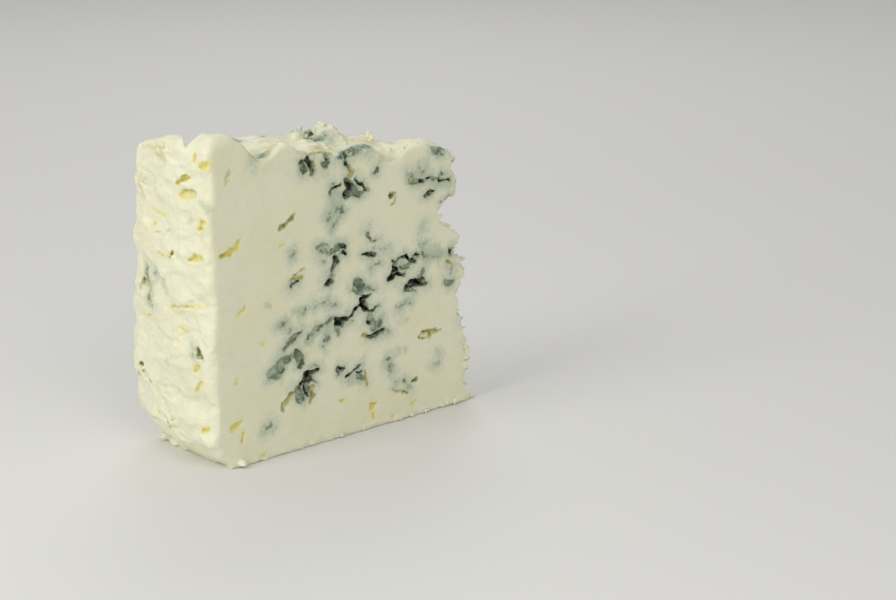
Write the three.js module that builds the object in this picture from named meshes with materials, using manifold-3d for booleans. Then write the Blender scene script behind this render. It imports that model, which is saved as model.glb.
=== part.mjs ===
// A wedge of blue cheese, in millimetres, standing on the flat side of the wheel it was cut from.
// +Z is up and z = 0 is what it stands on. X runs along the wedge, from the wheel's rim at -X to
// the torn end at +X, where the middle of the wheel was. The front cut face looks towards -Y and
// the back cut face towards +Y, and the two close in on each other towards the torn end.
import * as THREE from "three";
import { mergeVertices } from "three/addons/utils/BufferGeometryUtils.js";
import Module from "manifold-3d";

// Driving dimensions. Places along the wedge count from its farthest point at the rim.
const LENGTH = 98.6;
const RIM_WIDTH = 41.6;
const TORN_WIDTH = 6.4;
const RIM_HEIGHT = 89.4; // of the plain top at the rim, before its lumps
const TORN_HEIGHT = 78; // of the plain top at the torn end
const WHEEL_RADIUS = 100;
const WHEEL_OFFSET = 12.5; // the wheel's middle lies this far behind the wedge's own middle line

// How much narrower the wedge gets, for each millimetre above its belly, at the rim.
const BELLY_HEIGHT = 32;
const BACK_LEAN = 0.125;

// Radii of the edges. The edge between rim and underside is the wheel's own rounded edge.
const FOOT_RADIUS_FRONT = 9.5;
const FOOT_RADIUS_BACK = 15.5;
const RIM_EDGE_RADIUS = 2;
const TORN_EDGE_RADIUS = 0.8;
const RIM_TOP_RADIUS = 3.5;
const TOP_EDGE_RADIUS = 1.4;
const RIM_TOP_REACH = 16; // how far along the wedge the top's edges stay rounder

// Crags: height of the relief and size of its lumps, on each kind of surface.
const FACE_RELIEF = { height: 0.35, size: 9, seed: 5 };
const RIM_RELIEF = { height: 0.8, size: 9, seed: 11 };
const TOP_RELIEF = { height: 0.8, size: 7, seed: 23 };
const TORN_RELIEF = { height: 1.5, size: 6, seed: 37 };

// Lumps and hollows of the top: middle, rise, and reach along and across the wedge.
const TOP_LUMPS = [
  { along: 11.5, across: -14.4, rise: 5.3, reachAlong: 7, reachAcross: 7 }, // dome over the front corner
  { along: 4.5, across: -2, rise: 1.8, reachAlong: 5.5, reachAcross: 9.5 }, // knob over the back corner
  { along: 4, across: -5, rise: 1.7, reachAlong: 4, reachAcross: 6.6 }, // slab that lies on the knob
  { along: 24, across: -8, rise: -1.2, reachAlong: 6, reachAcross: 8 }, // mouldy trough
  { along: 31.5, across: -15, rise: 3.2, reachAlong: 4.6, reachAcross: 6 }, // lobe of the front edge
  { along: 55.4, across: 4.5, rise: 2.3, reachAlong: 4.2, reachAcross: 4.5 }, // crumbly crest
  { along: 59, across: -9, rise: 1.4, reachAlong: 5, reachAcross: 4 }, // second lobe of the front edge
  { along: 69.6, across: -9, rise: -2.8, reachAlong: 4.2, reachAcross: 3 }, // chip out of that edge
  { along: 80, across: -4, rise: 1.4, reachAlong: 6, reachAcross: 4.5 }, // last lobe of that edge
  { along: 77, across: 4, rise: -1.4, reachAlong: 3.4, reachAcross: 4 }, // dip in the back ridge
  { along: 62, across: 6, rise: 2, reachAlong: 32, reachAcross: 6 }, // back ridge
  { along: 96, across: 0, rise: -2, reachAlong: 4.5, reachAcross: 9 }, // worn corner of the torn end
];

// The open gap between dome and knob is a ditch that runs from its mouth at the rim back and away
// from the front. Its floor falls as it goes. The knob's side is steep and the dome's is a slope.
const TOP_GAP = {
  along: 3,
  across: -11.8,
  heading: 64.5, // degrees from the wedge's length
  floor: 91.2,
  fall: 0.215,
  leftSlope: 6,
  rightSlope: 0.8,
};

// Teeth and notches of the torn end: middle height, how far each stands out, and its reach.
const TORN_TEETH = [
  { z: 18, out: 1.4, reach: 6 },
  { z: 32.5, out: -1.7, reach: 5 },
  { z: 42, out: 1.6, reach: 3 },
  { z: 48, out: -1.9, reach: 2 },
  { z: 56, out: -3, reach: 2.5 },
  { z: 60.5, out: -6.2, reach: 3.8 }, // the bite
];
const TORN_LEAN = 0.06; // the torn end leans in by this much for each millimetre up

// Pockets that mould has opened up. Each has the middle of its mouth, from the rim along its own
// face and up, its length and width, the turn of its length from level, in degrees, and its depth.
const FRONT_POCKETS = [
  { fromRim: 54.5, z: 39.5, length: 6.5, width: 4.2, turn: 20, depth: 5 },
  { fromRim: 48.5, z: 35.6, length: 9, width: 2.6, turn: 28, depth: 3.5 },
  { fromRim: 75, z: 40.4, length: 10, width: 3.2, turn: -4, depth: 4.5 },
  { fromRim: 67, z: 44.6, length: 6, width: 3.6, turn: 30, depth: 4 },
  { fromRim: 50, z: 72.6, length: 8, width: 5.4, turn: 12, depth: 5 },
  { fromRim: 34.4, z: 81.8, length: 6.4, width: 4.2, turn: 110, depth: 5 },
  { fromRim: 44, z: 52.4, length: 6, width: 2.6, turn: 70, depth: 4 },
  { fromRim: 33.6, z: 21, length: 9, width: 3, turn: 40, depth: 4.5 },
  { fromRim: 30.4, z: 17, length: 8, width: 5, turn: 35, depth: 2 },
  { fromRim: 23.8, z: 25.6, length: 12, width: 4.4, turn: 22, depth: 2 },
  { fromRim: 30.6, z: 27.2, length: 5, width: 3.8, turn: 100, depth: 2 },
  { fromRim: 47.4, z: 56.6, length: 5.5, width: 4, turn: 160, depth: 3 },
  { fromRim: 52, z: 44, length: 6, width: 3.6, turn: 145, depth: 3 },
  { fromRim: 58, z: 32.6, length: 7, width: 5, turn: 120, depth: 1.8 },
  { fromRim: 18.2, z: 9.3, length: 4.6, width: 2.6, turn: 10, depth: 2 },
  { fromRim: 80, z: 24.5, length: 8, width: 2.6, turn: 5, depth: 1.8 },
  { fromRim: 52.6, z: 17.4, length: 6, width: 3.6, turn: 150, depth: 1.8 },
];
const BACK_POCKETS = [
  { fromRim: 20, z: 30, length: 8, width: 3.4, turn: 30, depth: 3 },
  { fromRim: 30, z: 62, length: 7, width: 3.2, turn: 70, depth: 4 },
  { fromRim: 38, z: 44, length: 9, width: 4, turn: 25, depth: 4 },
  { fromRim: 47, z: 22, length: 6, width: 3.2, turn: 140, depth: 3 },
  { fromRim: 53, z: 58, length: 8, width: 4, turn: 40, depth: 4 },
  { fromRim: 61, z: 36, length: 9, width: 3.2, turn: 10, depth: 3.5 },
  { fromRim: 70, z: 66, length: 6, width: 3.4, turn: 60, depth: 3 },
];
// On the rim a pocket's place is across the wedge and up.
const RIM_POCKETS = [
  { across: -11.5, z: 77.6, length: 6, width: 2.8, turn: 10, depth: 3 },
  { across: -14, z: 60.4, length: 6, width: 2.4, turn: 8, depth: 2.4 },
  { across: -18, z: 86.6, length: 4, width: 3, turn: 30, depth: 2.4 },
  { across: -1.5, z: 87.4, length: 5, width: 2.6, turn: 140, depth: 2 },
  { across: -14.8, z: 33.8, length: 4.4, width: 2.4, turn: 90, depth: 2 },
  { across: 8, z: 49.8, length: 10, width: 2.6, turn: 105, depth: 1.6 },
];
const POCKET_UNEVENNESS = 0.35;
const POCKET_LUMP_SIZE = 0.8; // of that unevenness, against a pocket's half length
const POCKET_DETAIL = 2;

// The mesh before its pockets are cut: rows of faces along, across and up.
const ROWS_ALONG = 34;
const ROWS_ACROSS = 12;
const ROWS_UP = 31;
const CORE_SHARE = 0.45; // the core that the surface is searched from, against the whole wedge
const SEARCH_REACH = 1.6; // how far out the search goes, against the way from core to skin
const SEARCH_STEPS = 30;
const FITTING_PASSES = 4;
const SLIVER_SIZE = 0.08; // the mesh may move by this much to lose its slivers

const CREAM = new THREE.Color(0.87, 0.84, 0.7);

const HALF_ANGLE = Math.atan((RIM_WIDTH - TORN_WIDTH) / 2 / LENGTH);
const { lerp, degToRad, clamp } = THREE.MathUtils;

// The same value from 0 to 1 each time for a point of a cubic lattice.
function latticeValue(i, j, k, seed) {
  let h =
    Math.imul(i, 374761393) +
    Math.imul(j, 668265263) +
    Math.imul(k, 1274126177) +
    Math.imul(seed, 974634777);
  h = Math.imul(h ^ (h >>> 13), 1103515245);
  return ((h ^ (h >>> 16)) >>> 0) / 2 ** 32;
}

// Smooth lumps of the given size, from -1 to 1.
function lumps(x, y, z, size, seed) {
  const cell = [x, y, z].map((v) => Math.floor(v / size));
  const part = [x, y, z].map((v, n) => v / size - cell[n]);
  const ease = part.map((t) => t * t * (3 - 2 * t));
  let sum = 0;
  for (let corner = 0; corner < 8; corner++) {
    const step = [corner & 1, (corner >> 1) & 1, corner >> 2];
    const share = step.reduce((all, s, n) => all * (s ? ease[n] : 1 - ease[n]), 1);
    sum += share * latticeValue(cell[0] + step[0], cell[1] + step[1], cell[2] + step[2], seed);
  }
  return 2 * sum - 1;
}

// Two sizes of lumps together, the second half as large and half as high.
function crags({ x, y, z }, { height, size, seed }) {
  return (height * (lumps(x, y, z, size, seed) + 0.5 * lumps(x, y, z, size / 2, seed + 1))) / 1.5;
}

// 1 in the middle, with a flat crown, falling to nothing beyond its reach.
function mound(distance, reach) {
  return Math.exp(-((distance / reach) ** 4));
}

// Where two surfaces meet at an edge of this radius. a and b are distances outside each.
function roundedEdge(a, b, radius) {
  const outside = Math.hypot(Math.max(a + radius, 0), Math.max(b + radius, 0));
  return Math.min(Math.max(a, b), -radius) + outside;
}

function halfWidth(along) {
  return lerp(RIM_WIDTH, TORN_WIDTH, along / LENGTH) / 2;
}

// How far along the wedge the rim's round lies, before its relief.
function rimAlong(across) {
  return WHEEL_RADIUS - Math.sqrt(WHEEL_RADIUS ** 2 - (across - WHEEL_OFFSET) ** 2);
}

// How far the back face stands in from its belly. The thin end leans less than the rim end.
function backLean(along, z) {
  return BACK_LEAN * Math.max(0, z - BELLY_HEIGHT) * (halfWidth(along) / halfWidth(0));
}

// How high the floor and sides of the top's gap are.
function gapHeight(along, across) {
  const heading = degToRad(TOP_GAP.heading);
  const outAlong = along - TOP_GAP.along;
  const outAcross = across - TOP_GAP.across;
  const ahead = outAlong * Math.cos(heading) + outAcross * Math.sin(heading);
  const right = outAlong * Math.sin(heading) - outAcross * Math.cos(heading);
  const side = Math.max(TOP_GAP.rightSlope * right, -TOP_GAP.leftSlope * right);
  return TOP_GAP.floor - TOP_GAP.fall * ahead + side;
}

function topHeight(along, across) {
  const plain = lerp(RIM_HEIGHT, TORN_HEIGHT, along / LENGTH);
  const lumpy = TOP_LUMPS.reduce(
    (height, lump) =>
      height +
      lump.rise *
        mound(along - lump.along, lump.reachAlong) *
        mound(across - lump.across, lump.reachAcross),
    plain,
  );
  return Math.min(lumpy, gapHeight(along, across));
}

function tornReach(z) {
  const plain = LENGTH - TORN_LEAN * z;
  return TORN_TEETH.reduce((reach, tooth) => reach + tooth.out * mound(z - tooth.z, tooth.reach), plain);
}

// How far a point is outside the wedge, or, below zero, how deep inside.
function distanceOutside(point) {
  const { x, y, z } = point;
  const along = x + LENGTH / 2;
  const cut = crags(point, FACE_RELIEF);
  const front = (-y - halfWidth(along)) * Math.cos(HALF_ANGLE) - cut;
  const back = (y - halfWidth(along) + backLean(along, z)) * Math.cos(HALF_ANGLE) - cut;
  const rim = Math.hypot(along - WHEEL_RADIUS, y - WHEEL_OFFSET) - WHEEL_RADIUS;
  const torn = along - tornReach(z) - crags(point, TORN_RELIEF);
  const ditch = z - gapHeight(along, y);
  const top = Math.max(z - topHeight(along, y) - crags(point, TOP_RELIEF), ditch);
  const backward = clamp(y / RIM_WIDTH + 0.5, 0, 1) ** 2;
  const footRadius = lerp(FOOT_RADIUS_FRONT, FOOT_RADIUS_BACK, backward);
  const foot = roundedEdge(rim - crags(point, RIM_RELIEF), -z, footRadius);
  const edgeRadius = lerp(RIM_EDGE_RADIUS, TORN_EDGE_RADIUS, clamp(along / LENGTH, 0, 1));
  const wall = roundedEdge(Math.max(foot, torn), Math.max(front, back), edgeRadius);
  const topRadius = lerp(RIM_TOP_RADIUS, TOP_EDGE_RADIUS, clamp(along / RIM_TOP_REACH, 0, 1));
  return roundedEdge(wall, top, topRadius);
}

// A point of the wedge before its crags and round edges, from its place in a cube that runs from
// -1 to 1. Each of the three places leans on the others, so they are fitted in a few passes.
function wedgePoint(cube) {
  const [lengthwise, widthwise, upwards] = cube.toArray().map((v) => (1 + v) / 2);
  let along = lengthwise * LENGTH;
  let across = 0;
  let z = upwards * RIM_HEIGHT;
  for (let pass = 0; pass < FITTING_PASSES; pass++) {
    across = lerp(-halfWidth(along), halfWidth(along) - backLean(along, z), widthwise);
    along = lerp(rimAlong(across), tornReach(z), lengthwise);
    z = upwards * topHeight(along, across);
  }
  return new THREE.Vector3(along - LENGTH / 2, across, z);
}

// The place on the wedge's surface straight out from its core, for a point of a cube's surface.
function surfacePoint(cube) {
  const core = wedgePoint(cube.clone().multiplyScalar(CORE_SHARE));
  const skin = wedgePoint(cube);
  let near = 0;
  let far = SEARCH_REACH;
  for (let step = 0; step < SEARCH_STEPS; step++) {
    const middle = (near + far) / 2;
    if (distanceOutside(core.clone().lerp(skin, middle)) < 0) near = middle;
    else far = middle;
  }
  return core.lerp(skin, near);
}

// A geometry with only its positions left, and each shared vertex once.
function welded(geometry) {
  geometry.deleteAttribute("normal");
  geometry.deleteAttribute("uv");
  return mergeVertices(geometry, 1e-4);
}

function bodyGeometry() {
  const geometry = welded(new THREE.BoxGeometry(2, 2, 2, ROWS_ALONG, ROWS_ACROSS, ROWS_UP));
  const position = geometry.attributes.position;
  for (let n = 0; n < position.count; n++) {
    const place = surfacePoint(new THREE.Vector3().fromBufferAttribute(position, n));
    if (place.z < SLIVER_SIZE) place.z = 0;
    position.setXYZ(n, place.x, place.y, place.z);
  }
  return geometry;
}

// An uneven egg, lying with its length along X, its width along Z and its depth along Y.
function pocketGeometry({ length, width, depth }, seed) {
  const geometry = welded(new THREE.IcosahedronGeometry(1, POCKET_DETAIL));
  const position = geometry.attributes.position;
  for (let n = 0; n < position.count; n++) {
    const place = new THREE.Vector3().fromBufferAttribute(position, n);
    const swell = 1 + POCKET_UNEVENNESS * lumps(place.x, place.y, place.z, POCKET_LUMP_SIZE, seed);
    place.multiplyScalar(swell);
    position.setXYZ(n, (place.x * length) / 2, place.y * depth, (place.z * width) / 2);
  }
  return geometry;
}

// Turns a pocket within its face, then turns it to look the face's way, and moves it into place.
function placePocket(geometry, pocket, facing, place) {
  const turn = new THREE.Matrix4().makeRotationY(-degToRad(pocket.turn));
  const face = new THREE.Matrix4().makeRotationZ(facing);
  return geometry.applyMatrix4(turn).applyMatrix4(face).translate(place.x, place.y, place.z);
}

function faceSpot({ fromRim, z }, side) {
  const corner = rimAlong((side * RIM_WIDTH) / 2);
  const along = corner + fromRim * Math.cos(HALF_ANGLE);
  const lean = side > 0 ? backLean(along, z) : 0;
  return new THREE.Vector3(along - LENGTH / 2, side * (halfWidth(along) - lean), z);
}

function rimSpot({ across, z }) {
  return new THREE.Vector3(rimAlong(across) - LENGTH / 2, across, z);
}

function pocketGeometries() {
  let seed = 100;
  const cut = (pocket, facing, place) =>
    placePocket(pocketGeometry(pocket, seed++), pocket, facing, place);
  return [
    ...FRONT_POCKETS.map((pocket) => cut(pocket, HALF_ANGLE, faceSpot(pocket, -1))),
    ...BACK_POCKETS.map((pocket) => cut(pocket, -HALF_ANGLE, faceSpot(pocket, 1))),
    ...RIM_POCKETS.map((pocket) => cut(pocket, Math.PI / 2, rimSpot(pocket))),
  ];
}

const wasm = await Module();
wasm.setup();

function solidOf(geometry) {
  return new wasm.Manifold(
    new wasm.Mesh({
      numProp: 3,
      vertProperties: new Float32Array(geometry.attributes.position.array),
      triVerts: new Uint32Array(geometry.index.array),
    }),
  );
}

function geometryOf(solid) {
  const { vertProperties, triVerts } = solid.getMesh();
  const geometry = new THREE.BufferGeometry();
  geometry.setAttribute("position", new THREE.BufferAttribute(vertProperties, 3));
  geometry.setIndex(new THREE.BufferAttribute(triVerts, 1));
  geometry.computeVertexNormals();
  return geometry;
}

function cheeseMesh() {
  const whole = solidOf(bodyGeometry());
  const cut = pocketGeometries().reduce((solid, pocket) => solid.subtract(solidOf(pocket)), whole);
  const material = new THREE.MeshStandardMaterial({ color: CREAM, roughness: 0.55, metalness: 0 });
  const mesh = new THREE.Mesh(geometryOf(cut.asOriginal().simplify(SLIVER_SIZE)), material);
  mesh.name = "cheese";
  return mesh;
}

const wedge = new THREE.Group();
wedge.add(cheeseMesh());

export default wedge;
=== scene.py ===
# %% [markdown]
# # A wedge of blue cheese
# The wedge was cut from a wheel about 20 cm across. It has a lumpy curved rim, two flat faces
# where the wire went through, a torn thin end, an uneven top, and pockets lined with mould.
# Everything is one block of paste, so one mesh is made for it. Its shape is worked out
# as a distance field: a number for each point of space that says how far outside the cheese it
# lies. Fields are easy to round, roughen and hollow out, and a mesh is drawn where they are zero.

# %% The fixed frame
import math
from collections import namedtuple

import bmesh
import bpy
import numpy as np
from mathutils import Euler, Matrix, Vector


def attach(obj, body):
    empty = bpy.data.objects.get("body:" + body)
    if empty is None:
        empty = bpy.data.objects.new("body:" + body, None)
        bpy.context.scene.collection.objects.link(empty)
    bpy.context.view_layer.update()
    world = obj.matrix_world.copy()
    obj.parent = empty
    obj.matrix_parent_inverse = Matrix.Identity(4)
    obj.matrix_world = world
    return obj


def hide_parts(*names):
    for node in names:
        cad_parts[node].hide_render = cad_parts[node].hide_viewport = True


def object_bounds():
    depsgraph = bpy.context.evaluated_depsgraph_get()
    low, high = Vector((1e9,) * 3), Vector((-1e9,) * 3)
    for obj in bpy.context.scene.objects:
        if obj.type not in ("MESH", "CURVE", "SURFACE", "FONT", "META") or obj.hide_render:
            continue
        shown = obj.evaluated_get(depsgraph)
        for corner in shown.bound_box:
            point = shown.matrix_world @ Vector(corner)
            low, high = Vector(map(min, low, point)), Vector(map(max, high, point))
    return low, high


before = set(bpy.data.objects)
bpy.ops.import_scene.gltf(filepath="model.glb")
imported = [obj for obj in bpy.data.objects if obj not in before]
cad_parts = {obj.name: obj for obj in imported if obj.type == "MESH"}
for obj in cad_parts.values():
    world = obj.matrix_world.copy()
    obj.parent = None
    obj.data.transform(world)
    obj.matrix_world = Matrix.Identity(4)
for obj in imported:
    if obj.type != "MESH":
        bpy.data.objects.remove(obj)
cad_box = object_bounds()
MM = 0.001  # shapes are worked out in millimetres and put into the scene in metres
print("the solid's box, m:", [round(v, 4) for corner in cad_box for v in corner])

# %% [markdown]
# ## Sizes
# X runs along the wedge, from the rim at -X to the torn end at +X. The front cut face looks
# towards -Y, and Z is up from the flat side that the wedge stands on. The sizes and the larger
# lumps are the solid's own, so that the detailed mesh has the same main form.

# %% Sizes of the wedge, in millimetres
LENGTH = 98.6
RIM_WIDTH, TORN_WIDTH = 41.6, 6.4
RIM_HEIGHT, TORN_HEIGHT = 89.4, 78
WHEEL_RADIUS, WHEEL_OFFSET = 100, 12.5
BELLY_HEIGHT, BACK_LEAN = 32, 0.125
FOOT_RADIUS_FRONT, FOOT_RADIUS_BACK = 9.5, 15.5
RIM_EDGE_RADIUS, TORN_EDGE_RADIUS = 2, 0.8
RIM_TOP_RADIUS, TOP_EDGE_RADIUS, RIM_TOP_REACH = 3.5, 1.4, 16
TORN_LEAN = 0.06
HALF_ANGLE = math.atan((RIM_WIDTH - TORN_WIDTH) / 2 / LENGTH)

Lump = namedtuple("Lump", "along across rise reach_along reach_across")
TOP_LUMPS = [
    Lump(11.5, -14.4, 5.3, 7, 7),  # dome over the front corner
    Lump(4.5, -2, 1.8, 5.5, 9.5),  # knob over the back corner
    Lump(4, -5, 1.7, 4, 6.6),  # slab that lies on the knob
    Lump(24, -8, -1.2, 6, 8),  # mouldy trough
    Lump(31.5, -15, 3.2, 4.6, 6),  # lobe of the front edge
    Lump(55.4, 4.5, 2.3, 4.2, 4.5),  # crumbly crest
    Lump(59, -9, 1.4, 5, 4),  # second lobe of the front edge
    Lump(69.6, -9, -2.8, 4.2, 3),  # chip out of the front edge
    Lump(80, -4, 1.4, 6, 4.5),  # last lobe of the front edge
    Lump(77, 4, -1.4, 3.4, 4),  # dip in the back ridge
    Lump(62, 6, 2, 32, 6),  # back ridge
    Lump(96, 0, -2, 4.5, 9),  # worn corner of the torn end
]
Gap = namedtuple("Gap", "along across heading floor fall left_slope right_slope")
TOP_GAP = Gap(3, -11.8, math.radians(64.5), 91.2, 0.215, 6, 0.8)  # open gap between dome and knob
Tooth = namedtuple("Tooth", "z out reach")
TORN_TEETH = [
    Tooth(18, 1.4, 6),
    Tooth(32.5, -1.7, 5),
    Tooth(42, 1.6, 3),
    Tooth(48, -1.9, 2),
    Tooth(56, -3, 2.5),
    Tooth(60.5, -6.2, 3.8),  # the bite
]
Relief = namedtuple("Relief", "height size seed")
FACE_RELIEF = Relief(0.35, 9, 5)
RIM_RELIEF = Relief(0.8, 9, 11)
TOP_RELIEF = Relief(0.8, 7, 23)
TORN_RELIEF = Relief(1.5, 6, 37)

# %% [markdown]
# ## Lumps
# Paste breaks and smears into lumps of many sizes. Each size is made by giving a chance value to
# every point of a cubic lattice and blending smoothly between them. The values come from whole
# number arithmetic, so they are the same in every run and the same as the solid's.

# %% Lumps of one size
def lattice_values(low, shape, seed):
    starts = [np.arange(count, dtype=np.int64) + first for count, first in zip(shape, low)]
    i, j, k = np.meshgrid(*starts, indexing="ij")
    h = (i * 374761393 + j * 668265263 + k * 1274126177 + seed * 974634777) & 0xFFFFFFFF
    h = ((h ^ (h >> 13)) * 1103515245) & 0xFFFFFFFF
    return ((h ^ (h >> 16)) / 2**32).astype(np.float32)


def lumps(place, size, seed):
    """Smooth lumps from -1 to 1 at these places, given as x, y and z in millimetres."""
    cells = [np.floor(v / size).astype(np.int32) for v in place]
    easing = [v / size - cell for v, cell in zip(place, cells)]
    easing = [(t * t * (3 - 2 * t)).astype(np.float32) for t in easing]
    low = [int(cell.min()) for cell in cells]
    shape = [int(cell.max()) - first + 2 for cell, first in zip(cells, low)]
    values = lattice_values(low, shape, seed).ravel()
    row, layer = shape[2], shape[1] * shape[2]
    corner = (cells[0] - low[0]) * layer + (cells[1] - low[1]) * row + (cells[2] - low[2])

    def up_z(start):
        below = values[start]
        return below + (values[start + 1] - below) * easing[2]

    def up_y(start):
        near = up_z(start)
        return near + (up_z(start + row) - near) * easing[1]

    near = up_y(corner)
    return 2 * (near + (up_y(corner + layer) - near) * easing[0]) - 1


def crags(place, relief):
    """Two sizes of lumps together, the second half as large and half as high."""
    coarse = lumps(place, relief.size, relief.seed)
    fine = lumps(place, relief.size / 2, relief.seed + 1)
    return relief.height * (coarse + 0.5 * fine) / 1.5


def turned_lumps(place, size, seed, stretch=(1, 1, 1)):
    """Lumps on a lattice that is turned, so that rows of it never line up with the faces."""
    turn = Euler((seed * 0.7, seed * 1.3, seed * 2.1)).to_matrix()
    scaled = [v / s for v, s in zip(place, stretch)]
    spun = [row[0] * scaled[0] + row[1] * scaled[1] + row[2] * scaled[2] for row in turn]
    return lumps(spun, size, seed)


probe = [np.array([12.5]), np.array([-3.0]), np.array([40.0])]
print("a lump's height at one place:", round(float(lumps(probe, 9, 11)[0]), 5))

# %% [markdown]
# ## The plain block
# The block is what lies inside all of its sides at once: front cut, back cut, rim, torn end,
# top and base. Taking the largest of the distances would give knife edges, so two sides that
# meet are blended by a round of the edge's own radius. The wheel's foot has the largest round.

# %% The block's sides
def mix(a, b, share):
    return a + (b - a) * share


def mound(distance, reach):
    return np.exp(-((distance / reach) ** 4))


def rounded_edge(a, b, radius):
    outside = np.hypot(np.maximum(a + radius, 0), np.maximum(b + radius, 0))
    return np.minimum(np.maximum(a, b), -radius) + outside


def half_width(along):
    return mix(RIM_WIDTH, TORN_WIDTH, along / LENGTH) / 2


def rim_along(across):
    return WHEEL_RADIUS - np.sqrt(WHEEL_RADIUS**2 - (across - WHEEL_OFFSET) ** 2)


def back_lean(along, z):
    return BACK_LEAN * np.maximum(0, z - BELLY_HEIGHT) * (half_width(along) / half_width(0))


def gap_height(along, across):
    """The sides of the gap's ditch: steep on the knob's side, and a slope on the dome's."""
    ahead = np.array([math.cos(TOP_GAP.heading), math.sin(TOP_GAP.heading)])
    out_along, out_across = along - TOP_GAP.along, across - TOP_GAP.across
    floor = TOP_GAP.floor - TOP_GAP.fall * (out_along * ahead[0] + out_across * ahead[1])
    right = out_along * ahead[1] - out_across * ahead[0]
    return floor + np.maximum(TOP_GAP.right_slope * right, -TOP_GAP.left_slope * right)


def top_height(along, across):
    height = mix(RIM_HEIGHT, TORN_HEIGHT, along / LENGTH)
    for lump in TOP_LUMPS:
        near = mound(along - lump.along, lump.reach_along) * mound(across - lump.across, lump.reach_across)
        height = height + lump.rise * near
    return np.minimum(height, gap_height(along, across))


def torn_reach(z):
    reach = LENGTH - TORN_LEAN * z
    for tooth in TORN_TEETH:
        reach = reach + tooth.out * mound(z - tooth.z, tooth.reach)
    return reach


def sides(place):
    """Distances outside the front, back, rim, torn end and top, before any relief."""
    x, y, z = place
    along = x + LENGTH / 2
    front = (-y - half_width(along)) * math.cos(HALF_ANGLE)
    back = (y - half_width(along) + back_lean(along, z)) * math.cos(HALF_ANGLE)
    rim = np.hypot(along - WHEEL_RADIUS, y - WHEEL_OFFSET) - WHEEL_RADIUS
    return front, back, rim, along - torn_reach(z), z - top_height(along, y)


def block_distance(place, front, back, rim, torn, top):
    """How far places are outside the block that these five sides and the base enclose."""
    x, y, z = place
    along = x + LENGTH / 2
    foot_radius = mix(FOOT_RADIUS_FRONT, FOOT_RADIUS_BACK, np.clip(y / RIM_WIDTH + 0.5, 0, 1) ** 2)
    foot = rounded_edge(rim, -z, foot_radius)
    edge_radius = mix(RIM_EDGE_RADIUS, TORN_EDGE_RADIUS, np.clip(along / LENGTH, 0, 1))
    wall = rounded_edge(np.maximum(foot, torn), np.maximum(front, back), edge_radius)
    top_radius = mix(RIM_TOP_RADIUS, TOP_EDGE_RADIUS, np.clip(along / RIM_TOP_REACH, 0, 1))
    return rounded_edge(wall, top, top_radius)


# %% [markdown]
# ## Relief of each side
# The wire leaves the two cut faces smooth. The rim is smeared and wavy, in layers that were
# pressed on each other, with little pits. The top is flaky, and the torn end is all crumbs. Each
# side gets its own lumps on top of the solid's larger ones, down to about half a millimetre.

# %% Fine relief, in millimetres
FACE_SHARE = 0.3  # of the solid's gentle waves in the cut faces, which are nearly flat


def cut_relief(place):
    relief = FACE_SHARE * crags(place, FACE_RELIEF)
    relief += 0.07 * turned_lumps(place, 3.1, 41)
    relief += 0.04 * turned_lumps(place, 1.1, 42)
    return relief


def rim_relief(place):
    relief = crags(place, RIM_RELIEF)
    smears = turned_lumps(place, 4.4, 51, stretch=(1, 2.2, 1))
    folds = np.abs(turned_lumps(place, 8, 52, stretch=(1, 1.8, 0.8)))
    ledges = np.abs(turned_lumps(place, 5, 57, stretch=(1, 2, 0.7)))
    curds = 1 - np.abs(turned_lumps(place, 2.7, 55))
    pits = np.maximum(0, turned_lumps(place, 2.1, 53) - 0.45)
    relief += 0.7 * smears - 0.3 * mound(folds, 0.3) - 0.24 * mound(ledges, 0.2)
    relief += 0.4 * curds**2 - 0.8 * pits
    return relief + 0.1 * turned_lumps(place, 1.2, 54) + 0.06 * turned_lumps(place, 0.7, 56)


def top_relief(place):
    along = place[0] + LENGTH / 2
    share = mix(0.35, 1, np.clip((along - 14) / 20, 0, 1))  # the rim's end of the top is smeared smooth
    flakes = 1 - 2 * np.abs(turned_lumps(place, 3.6, 61, stretch=(2.4, 1, 1)))
    fine = 0.5 * flakes + 0.4 * turned_lumps(place, 2.3, 62, stretch=(1.8, 1, 1))
    fine += 0.22 * turned_lumps(place, 1.1, 63)
    return share * (crags(place, TOP_RELIEF) + fine)


def torn_relief(place):
    relief = crags(place, TORN_RELIEF)
    gaps = np.abs(turned_lumps(place, 3.2, 71))
    relief += 0.8 * turned_lumps(place, 2.4, 72) - 1.3 * mound(gaps, 0.22)
    relief += 0.5 * turned_lumps(place, 1.3, 74)
    return relief + 0.25 * turned_lumps(place, 0.8, 73)


def sharp_mound(distance, reach):
    """Nearly flat inside the reach, with steep sides."""
    return np.exp(-((distance / reach) ** 10))


SHARP_LUMPS = [
    Lump(46.4, 5.4, 1.3, 2.2, 2.4),  # low step in front of the crest
    Lump(9.6, -17.4, 0.7, 5, 3.6),  # fullness of the dome at the corner
    Lump(19.4, -17, 0.8, 2.8, 3.4),  # low fold behind the dome
]


def slab_relief(place):
    """The pieces of the top that have steep sides, as extra height."""
    x, y, _ = place
    height = 0
    for lump in SHARP_LUMPS:
        near = sharp_mound(x + LENGTH / 2 - lump.along, lump.reach_along)
        height = height + lump.rise * near * sharp_mound(y - lump.across, lump.reach_across)
    return height


def crest_relief(place):
    """The heap of crumbs on the crest, as extra height over a few millimetres."""
    x, y, _ = place
    crest = TOP_LUMPS[5]  # the crumbly one
    near = mound(x + LENGTH / 2 - crest.along, 7) * mound(y - crest.across, 6)
    grains = 0.8 * turned_lumps(place, 3.2, 81) + 0.5 * turned_lumps(place, 1.7, 82)
    return near * grains


def base_relief(place):
    """Flakes that squeeze out along the foot of the cut faces."""
    near = mound(place[2], 1.8)
    return near * (0.6 * turned_lumps(place, 2.6, 91) + 0.4 * turned_lumps(place, 1.1, 92))


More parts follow.
